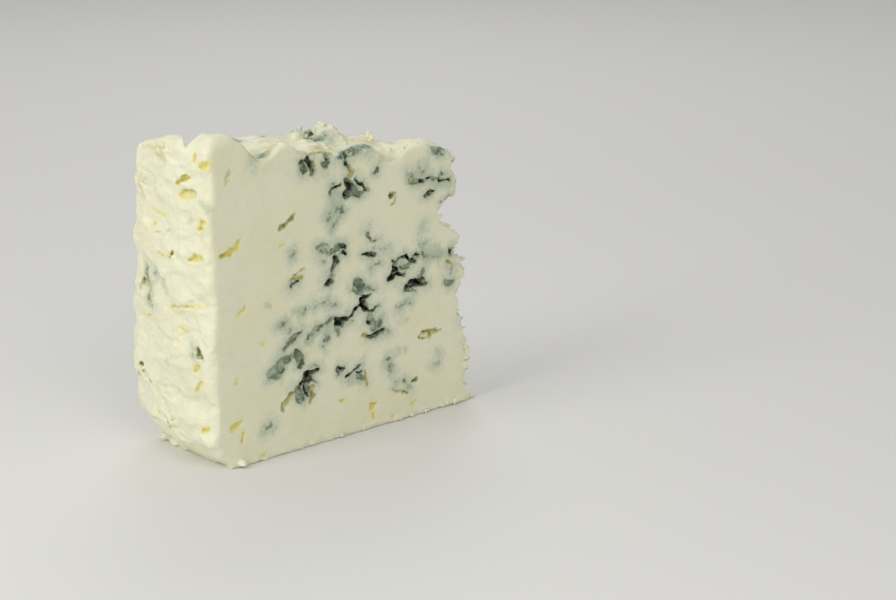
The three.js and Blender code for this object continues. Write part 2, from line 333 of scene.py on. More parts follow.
def cheese_skin(place):
    """The block with all its relief, but no pockets."""
    front, back, rim, torn, top = sides(place)
    cut = cut_relief(place) + base_relief(place)
    rim = rim - rim_relief(place)
    torn = torn - torn_relief(place)
    ditch = place[2] - gap_height(place[0] + LENGTH / 2, place[1])
    top = np.maximum(top - top_relief(place) - crest_relief(place) - slab_relief(place), ditch)
    return block_distance(place, front - cut, back - cut, rim, torn, top)


# %% The lip under the rim
LIP_EDGE = 6.2  # mm in from the rim, where the paste that was squeezed out over the board ends


def melted(a, b, reach):
    """Two shapes joined, with the corner between them filled over this reach."""
    share = np.clip(0.5 + 0.5 * (b - a) / reach, 0, 1)
    return mix(b, a, share) - reach * share * (1 - share)


def foot_lip(place):
    """A low ragged skirt that fills the narrow wedge of air under the rim's round foot."""
    front, back, rim, _, _ = sides(place)
    ragged = 1.1 * turned_lumps(place, 3.8, 93) + 0.6 * turned_lumps(place, 1.6, 94)
    beyond = rim + LIP_EDGE - ragged
    rise = 1.3 + 0.6 * turned_lumps(place, 3.2, 95) + 0.35 * turned_lumps(place, 1.4, 96)
    low_end = rounded_edge(beyond, place[2] - rise, 0.7)
    return np.maximum(low_end, np.maximum(front + 0.5, back + 1.5))


# %% [markdown]
# ## Veins and eyes
# Mould grows where air gets in: along the holes that were pierced into the wheel and in the gaps
# between curds. Where the wire cuts through such a gap it leaves a ragged pocket. Each one is a
# chain of short runs whose width changes from stop to stop, and it has a depth. Voids are deep and
# cracks are thin, and both are painted dark as the shade inside them; hollows are lined with felty
# mould, and olive ones are older mould. Stains lie flush, pale ones are mould seen through the
# paste, tan ones are dried smears, eyes are clean golden gas holes, and creases are folds of plain
# paste.

# %% Kinds of vein and how they lie on a side
Vein = namedtuple("Vein", "kind depth points widths outward")


def on_cut(side, rows):
    """Veins on the front (-1) or back (+1) cut. A stop is: from the rim's corner, height, width."""
    made = []
    outward = np.array([math.sin(HALF_ANGLE), side * math.cos(HALF_ANGLE), 0])
    for kind, depth, stops in rows:
        points = []
        for from_rim, height, _ in stops:
            along = rim_along(side * RIM_WIDTH / 2) + from_rim * math.cos(HALF_ANGLE)
            lean = back_lean(along, height) if side > 0 else 0
            points.append(np.array([along - LENGTH / 2, side * (half_width(along) - lean), height]))
        made.append(Vein(kind, depth, points, [stop[2] for stop in stops], outward))
    return made


def on_rim(rows):
    """Veins on the rim. A stop is: across, height, width."""
    made = []
    for kind, depth, stops in rows:
        points = [np.array([rim_along(y) - LENGTH / 2, y, z]) for y, z, _ in stops]
        outward = points[0] - np.array([WHEEL_RADIUS - LENGTH / 2, WHEEL_OFFSET, stops[0][1]])
        outward /= np.linalg.norm(outward)
        made.append(Vein(kind, depth, points, [stop[2] for stop in stops], outward))
    return made


def on_top(rows):
    """Veins on the top. A stop is: along, across, width."""
    made = []
    for kind, depth, stops in rows:
        points = [np.array([x - LENGTH / 2, y, float(top_height(x, y))]) for x, y, _ in stops]
        made.append(Vein(kind, depth, points, [stop[2] for stop in stops], np.array([0, 0, 1])))
    return made


def on_torn(rows):
    """Veins on the torn end. A stop is: across, height, width."""
    made = []
    for kind, depth, stops in rows:
        points = [np.array([float(torn_reach(z)) - LENGTH / 2, y, z]) for y, z, _ in stops]
        made.append(Vein(kind, depth, points, [stop[2] for stop in stops], np.array([1, 0, 0])))
    return made


# %% Veins of the front cut, group by group from the foot upwards
FRONT_FOOT = [
    ("hollow", 1.3, [(19, 24.6, 2.4), (21, 24.8, 4), (23, 25.8, 3.8), (24.4, 27.4, 2.6),
                     (26.6, 28.2, 1.2)]),
    ("hollow", 1.3, [(28.6, 29.6, 1.5), (29.6, 27.6, 3), (30.4, 25.8, 2.4)]),
    ("stain", 0.5, [(26, 28.2, 1.4), (28.4, 28.6, 1.4)]),
    ("void", 4.5, [(31.4, 20.4, 2.3), (32.6, 21.2, 3.4), (33.8, 22, 2.3), (35.6, 22.3, 1.2),
                   (36.8, 22.5, 0.78)]),
    ("crack", 2, [(31.3, 19.8, 1.5), (31.1, 18, 1), (31.5, 16.4, 0.67), (32.6, 15.3, 0.56)]),
    ("hollow", 1.3, [(29.8, 19.6, 1.4), (29, 17.8, 3), (29.6, 15.9, 2.6), (30, 14.6, 1.3)]),
    ("hollow", 1, [(32.4, 18, 1.6), (32.8, 16.8, 1.8)]),
    ("olive", 0.8, [(34.2, 18, 0.9), (34, 15.6, 1.7), (33.2, 13.4, 1.2)]),
    ("olive", 0.7, [(26.6, 17.4, 1.6), (25, 15.8, 1.6), (23.6, 15.2, 1), (23.3, 13.2, 1.3)]),
    ("stain", 0.5, [(33.2, 23.6, 0.5), (35, 24.2, 0.5), (36.6, 23.2, 0.5)]),
    ("stain", 0.5, [(34.6, 19.6, 0.7), (35.8, 18.8, 0.6)]),
    ("stain", 0.6, [(17.2, 9, 1.4), (18.8, 9.8, 1.8)]),
    ("void", 2.2, [(44.1, 20.5, 1.8), (45.4, 20.4, 1.3)]),
    ("stain", 0.5, [(43.8, 19.5, 1), (46.2, 21.2, 0.5)]),
    ("crack", 1.2, [(46.6, 18, 0.78), (48, 18.2, 1), (49.4, 19.2, 0.56), (52.4, 20.3, 0.67)]),
    ("hollow", 1, [(50.8, 18, 1.3), (52, 17.2, 2.4), (53.2, 16.2, 1.8)]),
    ("crack", 0.8, [(50.6, 18.6, 0.56), (52.6, 18.5, 0.67)]),
    ("olive", 0.7, [(53.7, 18, 0.7), (54.2, 16, 1), (54.8, 13.8, 0.5)]),
    ("pale", 0.5, [(48.6, 16.8, 2.4), (51, 16, 1.8)]),
    ("stain", 0.5, [(62.2, 19.6, 0.6), (63.4, 20.1, 0.7), (63.8, 18.6, 1.2), (63.1, 17, 0.9),
                    (63.6, 15, 0.6)]),
    ("stain", 0.5, [(64.4, 17.8, 1.2), (65.4, 16.6, 0.8)]),
    ("stain", 0.5, [(65.4, 12.2, 0.6), (67.4, 12.2, 0.5), (69, 11.6, 0.9), (69.2, 12.8, 0.5)]),
    ("olive", 0.6, [(64.7, 10.3, 0.5), (66.4, 9.1, 0.4), (68.4, 8.8, 0.4), (70, 7.9, 0.4)]),
    ("stain", 0.5, [(70, 9.8, 0.9), (71.2, 9.6, 0.7)]),
    ("olive", 1, [(72.4, 11, 0.9), (73.9, 11.4, 1.4)]),
    ("olive", 1, [(74.8, 24.2, 0.5), (75.8, 25, 0.5), (77.4, 25.3, 0.7), (79.4, 24.7, 1.5),
                  (81.4, 25, 0.9)]),
    ("olive", 0.8, [(79.6, 24, 1.3), (79.4, 22.9, 0.6)]),
    ("olive", 0.4, [(75.2, 23.8, 0.4), (77, 23.2, 0.4), (78.6, 23.8, 0.5)]),
    ("olive", 0.5, [(81.4, 25, 0.8), (83.6, 24.5, 0.4)]),
    ("pale", 0.5, [(82.4, 18.8, 1.6), (84, 17.4, 1.6)]),
    ("stain", 0.4, [(81, 14.5, 0.7), (83, 14.8, 0.6)]),
    ("pale", 0.5, [(66, 21.8, 1), (69.6, 21.4, 0.9)]),
]
FRONT_MIDDLE = [
    ("hollow", 0.9, [(23.9, 30.7, 0.5), (26, 32.8, 1.3), (27.5, 33.6, 2), (29, 34.2, 0.9),
                     (30.4, 34.8, 0.5)]),
    ("crack", 0.8, [(26.2, 33.6, 0.56), (27.6, 34.4, 0.56), (30, 34.7, 0.56)]),
    ("stain", 0.5, [(26, 35.4, 0.5), (26.8, 36.3, 0.5)]),
    ("hollow", 0.6, [(32.8, 32.5, 0.6), (34.8, 33.9, 0.9), (37, 34.8, 0.8), (40.6, 35.9, 0.9),
                     (42.4, 36.4, 0.6)]),
    ("pale", 0.5, [(33, 32, 2), (37, 34, 2), (41, 35, 1.6)]),
    ("stain", 0.5, [(38, 28.8, 0.6), (38.9, 30.4, 1.1), (39.9, 31.7, 1), (41, 31, 1),
                    (39.8, 29.8, 0.9)]),
    ("pale", 0.5, [(28.4, 41.8, 1.8), (30.4, 41, 2.6), (31.8, 41.6, 1.6)]),
    ("stain", 0.4, [(30.2, 39.5, 0.6), (31.8, 40.2, 0.7), (32.2, 41.6, 0.7)]),
    ("stain", 0.5, [(35.5, 40.2, 0.6), (35.8, 41.1, 0.7), (37.8, 41.5, 0.7), (40, 42, 0.8),
                    (40.3, 41.2, 0.5)]),
    ("stain", 0.5, [(41.9, 40.2, 0.9), (43.3, 40.4, 1)]),
    ("pale", 0.5, [(22.8, 38.3, 1.2), (24.6, 39, 1.8), (25.2, 38, 1.2)]),
    ("stain", 0.4, [(22.7, 38, 0.6), (24.6, 38.3, 0.9)]),
    ("pale", 0.5, [(18.4, 45, 1.2), (19.8, 44.6, 1)]),
    ("hollow", 1.1, [(43, 36.6, 1), (43.6, 34.8, 2.2), (44.2, 33, 2.2), (44.2, 31.5, 0.9)]),
    ("void", 3.4, [(43.6, 35.9, 1.3), (45, 35.2, 2.9), (45.3, 33.9, 1.6)]),
    ("crack", 2.6, [(46, 35.5, 1.6), (48.4, 35.5, 1), (49.7, 36.2, 1.1), (50.3, 37.4, 1.2),
                    (51.5, 38.3, 0.78)]),
    ("crack", 2, [(51.5, 38.3, 0.78), (53, 38.4, 0.9)]),
    ("stain", 0.4, [(47.8, 34.8, 0.7), (49.6, 33.9, 0.6)]),
    ("void", 5, [(52.6, 39.9, 1.7), (54, 40.3, 2.2), (55.8, 40.4, 1.2)]),
    ("void", 5, [(53.2, 39.5, 2), (53.7, 38, 2.6), (54.5, 37, 1.4)]),
    ("crack", 1.4, [(54.8, 36.6, 0.9), (56.4, 35.6, 0.56), (57.6, 35.4, 0.78), (58.5, 36.5, 0.67)]),
    ("hollow", 1.9, [(50.6, 45.2, 1.7), (51.8, 44.6, 2.6), (53.1, 43.5, 1.7)]),
    ("hollow", 0.8, [(50.1, 43.8, 1.4), (51.4, 42.5, 1.8), (53, 41.7, 1.4)]),
    ("stain", 0.5, [(54.4, 43.4, 1.2), (56.4, 42.8, 1), (57.8, 41.9, 0.6)]),
    ("stain", 0.5, [(56, 35, 1.4), (56.3, 33, 2.6), (57.4, 31, 3), (59.4, 31.6, 2.4),
                    (59.8, 33.2, 1.1)]),
    ("crack", 0.8, [(54.9, 33, 0.56), (55.9, 32.3, 1)]),
    ("hollow", 0.4, [(58.5, 32.1, 0.4), (59.2, 32.6, 0.4), (60, 31.8, 0.5), (59.2, 30.8, 0.4),
                     (58.4, 31.4, 0.4)]),
    ("olive", 0.6, [(53.2, 29.2, 0.7), (54.8, 28.5, 0.9)]),
    ("crack", 1.8, [(55.2, 28.5, 0.78), (57.4, 28.3, 0.9), (59, 28.8, 1.2), (61.4, 29.3, 0.9)]),
    ("stain", 0.5, [(62.3, 28.8, 1), (63.3, 28.2, 0.7)]),
    ("void", 4, [(63.3, 43.9, 1.4), (65, 44.7, 3.4), (66, 46.2, 2.9)]),
    ("crack", 1.2, [(66.8, 45, 1.3), (68.2, 44.5, 0.9), (69.6, 44.1, 0.56)]),
    ("hollow", 1.6, [(65.6, 47.4, 1.6), (66, 48.6, 1.4), (64.8, 49.3, 0.7)]),
    ("crack", 1, [(66.7, 49.1, 0.78), (68.6, 49.7, 0.67), (70.6, 49.3, 0.78), (71.4, 48.2, 0.9)]),
    ("pale", 0.5, [(67.4, 48, 1.6), (69.4, 48, 2)]),
    ("hollow", 0.7, [(67.3, 46.9, 0.8), (69.2, 46.3, 1), (71, 46.8, 1), (72.4, 47.6, 1)]),
    ("crack", 1.6, [(72.7, 47.7, 1.1), (73.7, 47.4, 1.2)]),
    ("crack", 1, [(72.5, 48.8, 0.56), (73.8, 49.8, 0.67), (75, 48.9, 0.78)]),
    ("void", 4.5, [(70, 40.6, 1.3), (71.6, 40.8, 2), (74, 40.9, 2.5), (76, 40.6, 2.3),
                   (77.8, 39.9, 0.91)]),
    ("hollow", 1, [(69.4, 39.6, 0.7), (71.6, 39.2, 0.9), (73.8, 38.4, 0.7)]),
    ("stain", 0.5, [(75, 42.8, 1.1), (76.4, 43.6, 1.2), (76.8, 44.9, 0.8)]),
    ("stain", 0.5, [(76.2, 49.8, 0.9), (77.4, 48.6, 1.1), (79.2, 47.9, 0.9)]),
    ("stain", 0.5, [(80.8, 47.8, 1.1), (82.4, 47, 1), (83.4, 48.2, 0.6)]),
    ("pale", 0.5, [(78.6, 48.6, 4), (82, 48, 3.4), (86.4, 47.4, 3)]),
    ("stain", 0.4, [(75.4, 52.4, 0.8), (76.4, 51.4, 0.8), (77.8, 52.4, 0.6)]),
    ("crack", 0.8, [(87.2, 48.6, 1), (87.6, 47.2, 0.78), (88.4, 48.8, 0.56)]),
    ("olive", 0.5, [(86.2, 45.6, 0.9), (87.6, 44.8, 0.7)]),
    ("pale", 0.5, [(85.8, 43.6, 2)]),
    ("stain", 0.5, [(87.6, 41.4, 0.9), (88.3, 42.8, 0.7)]),
    ("hollow", 0.9, [(86, 38.2, 1.8), (88.4, 38.4, 1.9)]),
    ("stain", 0.4, [(67.4, 35, 1.2), (69, 35.6, 0.8), (70.4, 36.6, 0.6)]),
    ("stain", 0.4, [(71.2, 35, 0.6), (72.4, 35.4, 0.5)]),
    ("pale", 0.5, [(67.6, 30.3, 1.3), (70.2, 30.4, 1)]),
]
FRONT_SHOULDER = [
    ("void", 4, [(42.9, 54.3, 1.6), (43.9, 53.2, 2), (42.7, 51.8, 1.8), (42, 50.7, 1.2)]),
    ("hollow", 1.1, [(42.6, 56.2, 1.4), (44.2, 57.1, 2.2), (46, 57, 1.8)]),
    ("void", 2, [(46.3, 56.9, 1.6), (47.2, 56.2, 1.2)]),
    ("crack", 1.6, [(45.6, 55.2, 0.67), (47.4, 54.4, 1.1)]),
    ("void", 2.4, [(39.9, 46.9, 1.4), (41, 47.4, 1.7), (42, 47.8, 1)]),
    ("stain", 0.5, [(41.4, 48.8, 0.9), (42.6, 49.4, 0.7)]),
    ("hollow", 0.6, [(37, 57.7, 0.9), (38.6, 58.6, 0.9), (40.6, 58.3, 0.7)]),
    ("stain", 0.5, [(38.2, 57, 2), (40.4, 56.6, 1.4), (41.6, 55.8, 0.9)]),
    ("stain", 0.5, [(39, 54.4, 1), (39.4, 53.5, 0.7)]),
    ("crack", 2.6, [(53.3, 53.3, 0.67), (55, 53, 1), (56.7, 52.6, 1.5), (58.2, 52, 0.67)]),
    ("stain", 0.4, [(57.4, 54.1, 0.4), (60.4, 53.8, 0.5), (62.4, 53.4, 0.5), (64.3, 53, 0.4)]),
    ("stain", 0.5, [(56.4, 48.6, 0.8), (57.6, 49.3, 0.7), (59.6, 49.6, 0.7), (60.8, 49.2, 0.6)]),
    ("hollow", 0.6, [(55.4, 59.1, 0.9), (55.6, 58, 0.8), (56.6, 57, 0.8), (58.2, 56.3, 0.8)]),
    ("olive", 0.6, [(27.2, 50.7, 0.8), (29, 50.4, 1.1), (31.3, 50.4, 0.7)]),
    ("crack", 0.8, [(27.4, 48.4, 0.9), (27.9, 49.3, 0.67), (29.8, 49.9, 0.56)]),
    ("olive", 0.4, [(28.4, 51.5, 0.8), (30.4, 52.4, 0.6), (32, 53, 0.5)]),
    ("stain", 0.5, [(27.5, 57.2, 1.2), (28.4, 58.4, 1.1)]),
    ("stain", 0.5, [(41.4, 66.9, 1.5), (41.2, 65.3, 1)]),
    ("stain", 0.5, [(43.6, 68.6, 0.9), (44.6, 67.8, 1), (46.4, 68.6, 0.7), (46.8, 66.9, 1),
                    (45.3, 66.2, 0.9)]),
    ("stain", 0.5, [(44.8, 65.6, 0.7), (43.7, 63.9, 0.8), (42, 62.4, 1.1)]),
    ("pale", 0.5, [(44.4, 68.4, 4.2), (43.4, 65.4, 4.2), (42.4, 63, 3)]),
    ("olive", 1.4, [(63.9, 68.8, 0.6), (65.2, 69, 1.4), (66.3, 69, 0.6)]),
    ("olive", 0.4, [(66, 67.8, 0.5), (65.9, 66.8, 0.5), (64.6, 65.9, 0.5)]),
    ("crack", 1.8, [(77.4, 66.3, 0.67), (78.9, 66.8, 1.3), (80.3, 67.1, 1.2), (81.5, 67.3, 0.56)]),
    ("stain", 0.5, [(83.6, 63.8, 1), (85.4, 64.2, 0.6), (87.2, 65, 0.5)]),
    ("stain", 0.3, [(75.8, 56.6, 0.6), (77, 58.2, 0.5)]),
]
FRONT_CROWN = [
    ("void", 4.5, [(47.3, 71.2, 1.8), (48.2, 71.7, 2.4), (49.2, 71.9, 1.4)]),
    ("hollow", 3, [(48.3, 75, 2.6), (49.4, 73.7, 3.5), (51, 72.5, 2.8)]),
    ("hollow", 1.3, [(50.8, 71.5, 1.6), (52.4, 71, 1.6), (53.6, 71.3, 0.9)]),
    ("crack", 1.4, [(50.9, 75.6, 0.67), (52.8, 73.9, 0.67), (54.7, 72, 0.9)]),
    ("olive", 0.6, [(54, 71.6, 0.7), (55.3, 72.2, 0.7)]),
    ("crack", 1.2, [(47.6, 83.4, 1), (47.4, 81.6, 0.56), (47.5, 80.2, 0.56), (48.5, 79.3, 0.56)]),
    ("olive", 0.8, [(48.9, 78.6, 1.1), (49.8, 77.6, 1.5), (49, 76.6, 1.3)]),
    ("hollow", 1.2, [(48.4, 84, 1), (49.2, 83.3, 1.7), (50.2, 84, 1.1)]),
    ("stain", 0.6, [(50.6, 84.4, 1.1), (53, 84.8, 1), (55.6, 84, 0.8), (57.6, 83.4, 0.5)]),
    ("crack", 0.7, [(41.7, 73, 0.78), (43.3, 74.3, 0.67), (45.6, 74.6, 0.67)]),
    ("stain", 0.4, [(41.8, 72.4, 0.9), (43.4, 75.6, 0.5)]),
    ("pale", 0.5, [(43, 72.6, 3), (45, 71, 3)]),
    ("hollow", 2.2, [(32.1, 82.6, 2.6), (32.8, 80.9, 3)]),
    ("void", 3.4, [(33.4, 84, 1.2), (34.7, 82.6, 1.5), (35.3, 81, 1.7), (35.3, 79.7, 1.2)]),
    ("olive", 0.7, [(35.7, 83, 0.6), (36.1, 81.2, 0.6)]),
    ("crack", 1.4, [(40.3, 82.8, 1), (41.3, 82.8, 0.67)]),
    ("hollow", 0.6, [(39.4, 82, 0.9), (40.2, 81.1, 1.5), (41.4, 81.6, 0.9)]),
    ("stain", 0.3, [(41, 84, 0.5), (40.4, 80.2, 0.6)]),
    ("hollow", 0.9, [(58.9, 76.2, 1.3), (59.4, 77.5, 0.7)]),
    ("tan", 0.6, [(59.8, 79.4, 0.8), (63, 79.8, 0.9), (66.8, 78.8, 0.7)]),
    ("olive", 0.5, [(36.8, 85.5, 0.7), (38.4, 85.5, 0.8), (40, 85.5, 0.5)]),
    ("olive", 0.6, [(71.6, 72.3, 0.7), (71.8, 71, 0.8), (73, 70.8, 0.6)]),
    ("hollow", 0.8, [(73.3, 71.6, 1.2), (75, 71.1, 1.2), (77.4, 71, 0.9)]),
    ("crack", 1.8, [(75.8, 71.3, 1), (76.8, 70.9, 1.2)]),
    ("crack", 1, [(78, 71.6, 0.78), (79.3, 71.5, 0.67)]),
    ("hollow", 0.6, [(80.2, 71.2, 0.7), (82, 70.9, 0.7)]),
    ("crack", 0.9, [(82.8, 70.9, 0.56), (83.2, 70.1, 1.1), (84.6, 70.1, 0.78), (87.2, 69.7, 0.67)]),
    ("stain", 0.4, [(75.6, 74.8, 0.8), (76.4, 73.6, 0.7), (78.1, 74.5, 0.7)]),
    ("pale", 0.5, [(71, 71.8, 2.4), (75.6, 72.8, 3.2), (79.6, 70.8, 2.6)]),
    ("pale", 0.5, [(80.6, 70.4, 2.4), (84, 69.4, 2.8), (87.6, 69.4, 2)]),
    ("stain", 0.4, [(71, 74, 0.8), (72.6, 73.2, 1)]),
    ("stain", 0.4, [(83.8, 72.2, 0.9), (86, 71.8, 0.8)]),
    ("hollow", 0.6, [(81.8, 80.2, 2), (83, 79.6, 1.9), (81.8, 78.4, 1.1)]),
]
FRONT_EYES = [
    ("olive", 1, [(23.7, 65.8, 0.9), (25.4, 66.3, 0.8), (26.8, 67.6, 1), (28.4, 68.3, 1.5)]),
    ("eye", 0.8, [(3.4, 61.6, 1.4), (6, 62, 1.8), (8.6, 63, 1.4), (9.6, 65, 0.7)]),
    ("eye", 0.3, [(23.6, 60.9, 0.5), (25, 61.2, 0.6)]),
    ("eye", 0.5, [(9, 44.4, 0.9), (10.6, 45.2, 1.2), (11, 46.4, 0.5)]),
    ("eye", 0.5, [(7.4, 24.6, 1), (7.8, 26.2, 0.8)]),
    ("eye", 0.5, [(5.4, 11.8, 1.3), (7.6, 12.8, 1.5), (9, 13.4, 0.8)]),
    ("eye", 0.4, [(9, 8, 0.7), (9.3, 10, 0.6)]),
    ("eye", 1.2, [(56.4, 5.4, 0.9), (57, 6.6, 2), (58, 7.2, 0.9)]),
    ("eye", 0.6, [(57, 4.4, 1), (57.4, 2.7, 0.6)]),
    ("eye", 0.6, [(45.1, 10.9, 0.9), (46.2, 11.1, 0.7)]),
    ("eye", 0.6, [(72.2, 4, 1.2), (73.6, 4.6, 0.7)]),
    ("eye", 0.4, [(64.3, 1.9, 0.8)]),
    ("eye", 0.3, [(15, 1.6, 0.6), (17, 2, 0.7)]),
    ("tan", 0.5, [(5.8, 81.2, 0.9), (6.3, 83, 1), (7, 84.6, 0.7)]),
    ("crease", 0.6, [(5.8, 80.8, 0.6), (6.2, 83, 0.8), (7.2, 84.9, 0.6)]),
    ("tan", 0.3, [(38.3, 24.3, 0.6)]),
    ("eye", 0.2, [(16.6, 33.8, 0.6), (17.4, 34.4, 0.5)]),
]

# %% Veins of the rim, the top and the torn end
RIM_VEINS = [
    ("eye", 1.8, [(-9.2, 77.4, 1.6), (-11.6, 77.8, 2.9), (-13.8, 78.6, 2)]),
    ("eye", 0.8, [(-8, 80.6, 0.8), (-10.6, 82, 1.5), (-12.8, 83, 0.9)]),
    ("eye", 1.3, [(-11.6, 59.8, 1), (-14, 60.6, 2), (-16.8, 61.2, 1)]),
    ("eye", 0.72, [(-16.2, 69, 1.4), (-17, 71, 1.2)]),
    ("eye", 1.1, [(-17, 86.4, 1.6), (-19, 87, 2)]),
    ("eye", 0.64, [(-14.8, 87.8, 1.2), (-15.2, 89.4, 0.8)]),
    ("tan", 1, [(-3, 86.2, 1.6), (-1, 87, 2.6), (1, 87.4, 1.4)]),
    ("tan", 0.6, [(10.4, 87.4, 0.7), (4, 88.4, 0.8), (-2.4, 89.2, 0.7)]),
    ("tan", 0.8, [(10.6, 77.2, 1), (9.6, 75.4, 1.1), (8.4, 73.6, 0.8)]),
    ("olive", 0.8, [(-18.2, 86.2, 0.9), (-18.8, 87.2, 1)]),
    ("eye", 0.56, [(-5.2, 61, 0.9), (-4.2, 59.4, 1.2)]),
    ("eye", 0.4, [(-0.6, 58.9, 0.8), (2, 59, 0.7)]),
    ("eye", 0.48, [(5, 71.4, 0.7), (1.6, 70.6, 0.8), (-1.4, 70, 0.7)]),
    ("eye", 0.4, [(3.4, 67.3, 1), (5, 66.6, 0.6)]),
    ("eye", 0.64, [(-3.2, 45, 0.6), (-6.6, 45.8, 0.6), (-10, 46.6, 0.4), (-14, 47.2, 0.4),
                   (-18, 48.2, 0.4)]),
    ("eye", 0.4, [(-6, 39.7, 0.6), (-10.4, 39.4, 0.7)]),
    ("eye", 0.32, [(7.6, 40.2, 0.6), (12, 40, 0.7)]),
    ("eye", 0.56, [(-13, 28.8, 1), (-13.9, 30.2, 1.1)]),
    ("eye", 0.56, [(-13.2, 22.6, 0.9), (-15.2, 25.6, 1.1)]),
    ("eye", 0.56, [(-15, 11.4, 1.2), (-17, 12.6, 1.4)]),
    ("olive", 1.4, [(13.2, 48, 1), (11.4, 49, 1.6), (9.8, 50, 0.9)]),
    ("stain", 1, [(9.4, 53.8, 0.8), (8.6, 52.6, 1.1), (8, 50.6, 1.1), (8.2, 48.6, 0.8)]),
    ("stain", 0.8, [(7.6, 46.4, 0.7), (6.4, 44.6, 0.8), (5.6, 43.4, 0.5)]),
    ("tan", 0.6, [(9, 52.6, 2), (8.2, 48, 1.8), (6.6, 44.6, 1.2)]),
    ("pale", 0.5, [(9, 52.6, 2.6), (8.4, 48, 2.4), (6.8, 44.8, 1.6)]),
    ("stain", 0.8, [(4.6, 52.8, 1), (3.6, 53.3, 0.9)]),
    ("pale", 0.5, [(0.4, 50.6, 1), (-0.6, 48.4, 1.2)]),
    ("olive", 1.8, [(-14.4, 35.4, 1.3), (-15, 33.4, 1.8), (-16.2, 32.8, 1)]),
    ("stain", 0.6, [(-12.4, 33.2, 1.1)]),
    ("olive", 1, [(14.9, 24, 0.9), (13.4, 24.1, 0.9)]),
    ("pale", 0.5, [(-17.8, 76.4, 1.8), (-19, 74.8, 1.6)]),
    ("pale", 0.5, [(-13, 71.4, 1.4)]),
    ("pale", 0.5, [(-1, 28.6, 1.4)]),
    ("crease", 0.65, [(11.4, 89.4, 2), (4, 89.8, 2.2), (-2, 90.2, 2.2), (-6.4, 90.8, 1.8)]),
    ("crease", 0.5, [(13.4, 22, 1.8), (8, 19, 2.2), (3, 15.2, 2.2), (-2, 12, 1.6)]),
    ("crease", 0.45, [(17, 20.6, 1.6), (10, 15.6, 2.2), (4, 11.6, 2), (-4, 8.8, 1.6)]),
    ("crease", 0.5, [(-19, 5.4, 1.6), (-10, 6.4, 2.2), (0, 7.2, 2.2), (8, 9.4, 1.8)]),
    ("crease", 0.55, [(13.6, 79.6, 2.2), (10, 79, 2.2), (7, 77.4, 1.6)]),
    ("crease", 0.4, [(17.6, 45.6, 1.8), (13, 46.6, 1.6)]),
    ("crease", 0.35, [(3, 64.6, 1.6), (-3, 65.6, 1.8), (-8, 64.6, 1.4)]),
    ("crease", 0.4, [(2, 35, 1.4), (7, 33.6, 1.8), (13, 34.6, 1.6)]),
]
TOP_VEINS = [
    ("stain", 0.6, [(20.4, -14.6, 1.6), (23.4, -13, 2.4), (26.4, -11, 2.4), (28.6, -6.6, 1.6)]),
    ("pale", 0.6, [(20.4, -14.6, 2.4), (23.4, -13, 4), (26.4, -11, 4.2), (28.6, -6.6, 3)]),
    ("stain", 0.6, [(24, 3, 1.6), (27, 5, 2.4), (28, 8, 1.6)]),
    ("tan", 0.8, [(24.6, -10.4, 1.2), (27.6, -2.8, 1.4), (30, -3.4, 1)]),
    ("tan", 0.8, [(25, -14.4, 1.6), (29, -12.6, 2.2), (33.4, -11, 1.4)]),
    ("tan", 0.6, [(29, -3, 1.9), (33, -2, 2.2), (37, -1, 1.6)]),
    ("tan", 0.6, [(33, 2, 1.6), (38, 3, 2.6), (42, 3.4, 1.6)]),
    ("tan", 0.6, [(42, -3, 2.2), (47, -3.6, 2.9), (52, -4.4, 1.9)]),
    ("tan", 0.6, [(44, -7.6, 1.9), (49, -7.4, 2.6), (53, -7, 1.6)]),
    ("tan", 0.8, [(58.6, 1.6, 1.6), (61, 3.4, 1.9), (64.8, 7.4, 1.6)]),
    ("tan", 0.6, [(62, 0.6, 1.2), (66, 0.8, 1.5), (70, 0.2, 1)]),
    ("tan", 0.6, [(68, 3, 1.4), (73, 4, 1.9), (76, 3.2, 1.3)]),
    ("olive", 0.6, [(40.4, -12.6, 0.9), (44, -12, 1.1), (48, -11.4, 0.7)]),
    ("stain", 0.9, [(51, -10.6, 1.6), (54.5, -10.4, 2.8), (57, -9.4, 2.4), (61, -9, 1.3)]),
    ("hollow", 0.8, [(50.4, -12.4, 1.2), (51.6, -11.4, 1.4)]),
    ("crack", 1, [(49.6, 4.8, 0.8), (51, 5.6, 1.3)]),
    ("stain", 0.6, [(48, 3.4, 1.6), (50, 1, 1.8), (53, 0.6, 1.4)]),
    ("pale", 0.5, [(51, 2, 1.6), (54.6, 2, 1.8)]),
    ("pale", 0.5, [(11, -13, 2), (14, -14.5, 3), (17, -15, 2)]),
    ("stain", 0.6, [(46, 8, 1.6), (52, 9.4, 2), (57, 8, 1.2)]),
    ("stain", 0.6, [(85.4, -6, 1.6), (87.4, -5, 2.4), (89, -4, 1.2)]),
    ("pale", 0.6, [(85.4, -6, 2.4), (87.6, -4.8, 3)]),
    ("hollow", 1, [(36, 7, 1.4), (39, 9, 2), (38, 11, 1)]),
    ("pale", 0.5, [(12, 6, 3), (16, 9, 2)]),
]
TORN_VEINS = [
    ("hollow", 1.6, [(0, 10, 1.4), (0.6, 13, 2.4)]),
    ("hollow", 1.6, [(-1.6, 25, 1.2), (-0.4, 28, 2)]),
    ("void", 2, [(1.4, 36, 1.2), (1.6, 39, 1.6)]),
    ("hollow", 2, [(0.6, 43.6, 1.8), (0.4, 46, 3), (-1, 48.4, 1.8)]),
    ("hollow", 1.8, [(0, 65.6, 1.6), (-0.6, 68.4, 2.4), (0.4, 71, 1.4)]),
    ("hollow", 1.2, [(-0.8, 75, 1.8), (0.8, 75.6, 1.4)]),
]

# %% [markdown]
# Nobody chose where the veins of the back cut run, so they wander by chance from one seed. They
# are thick in the middle of the wheel and thin towards the rim, where little air got in.

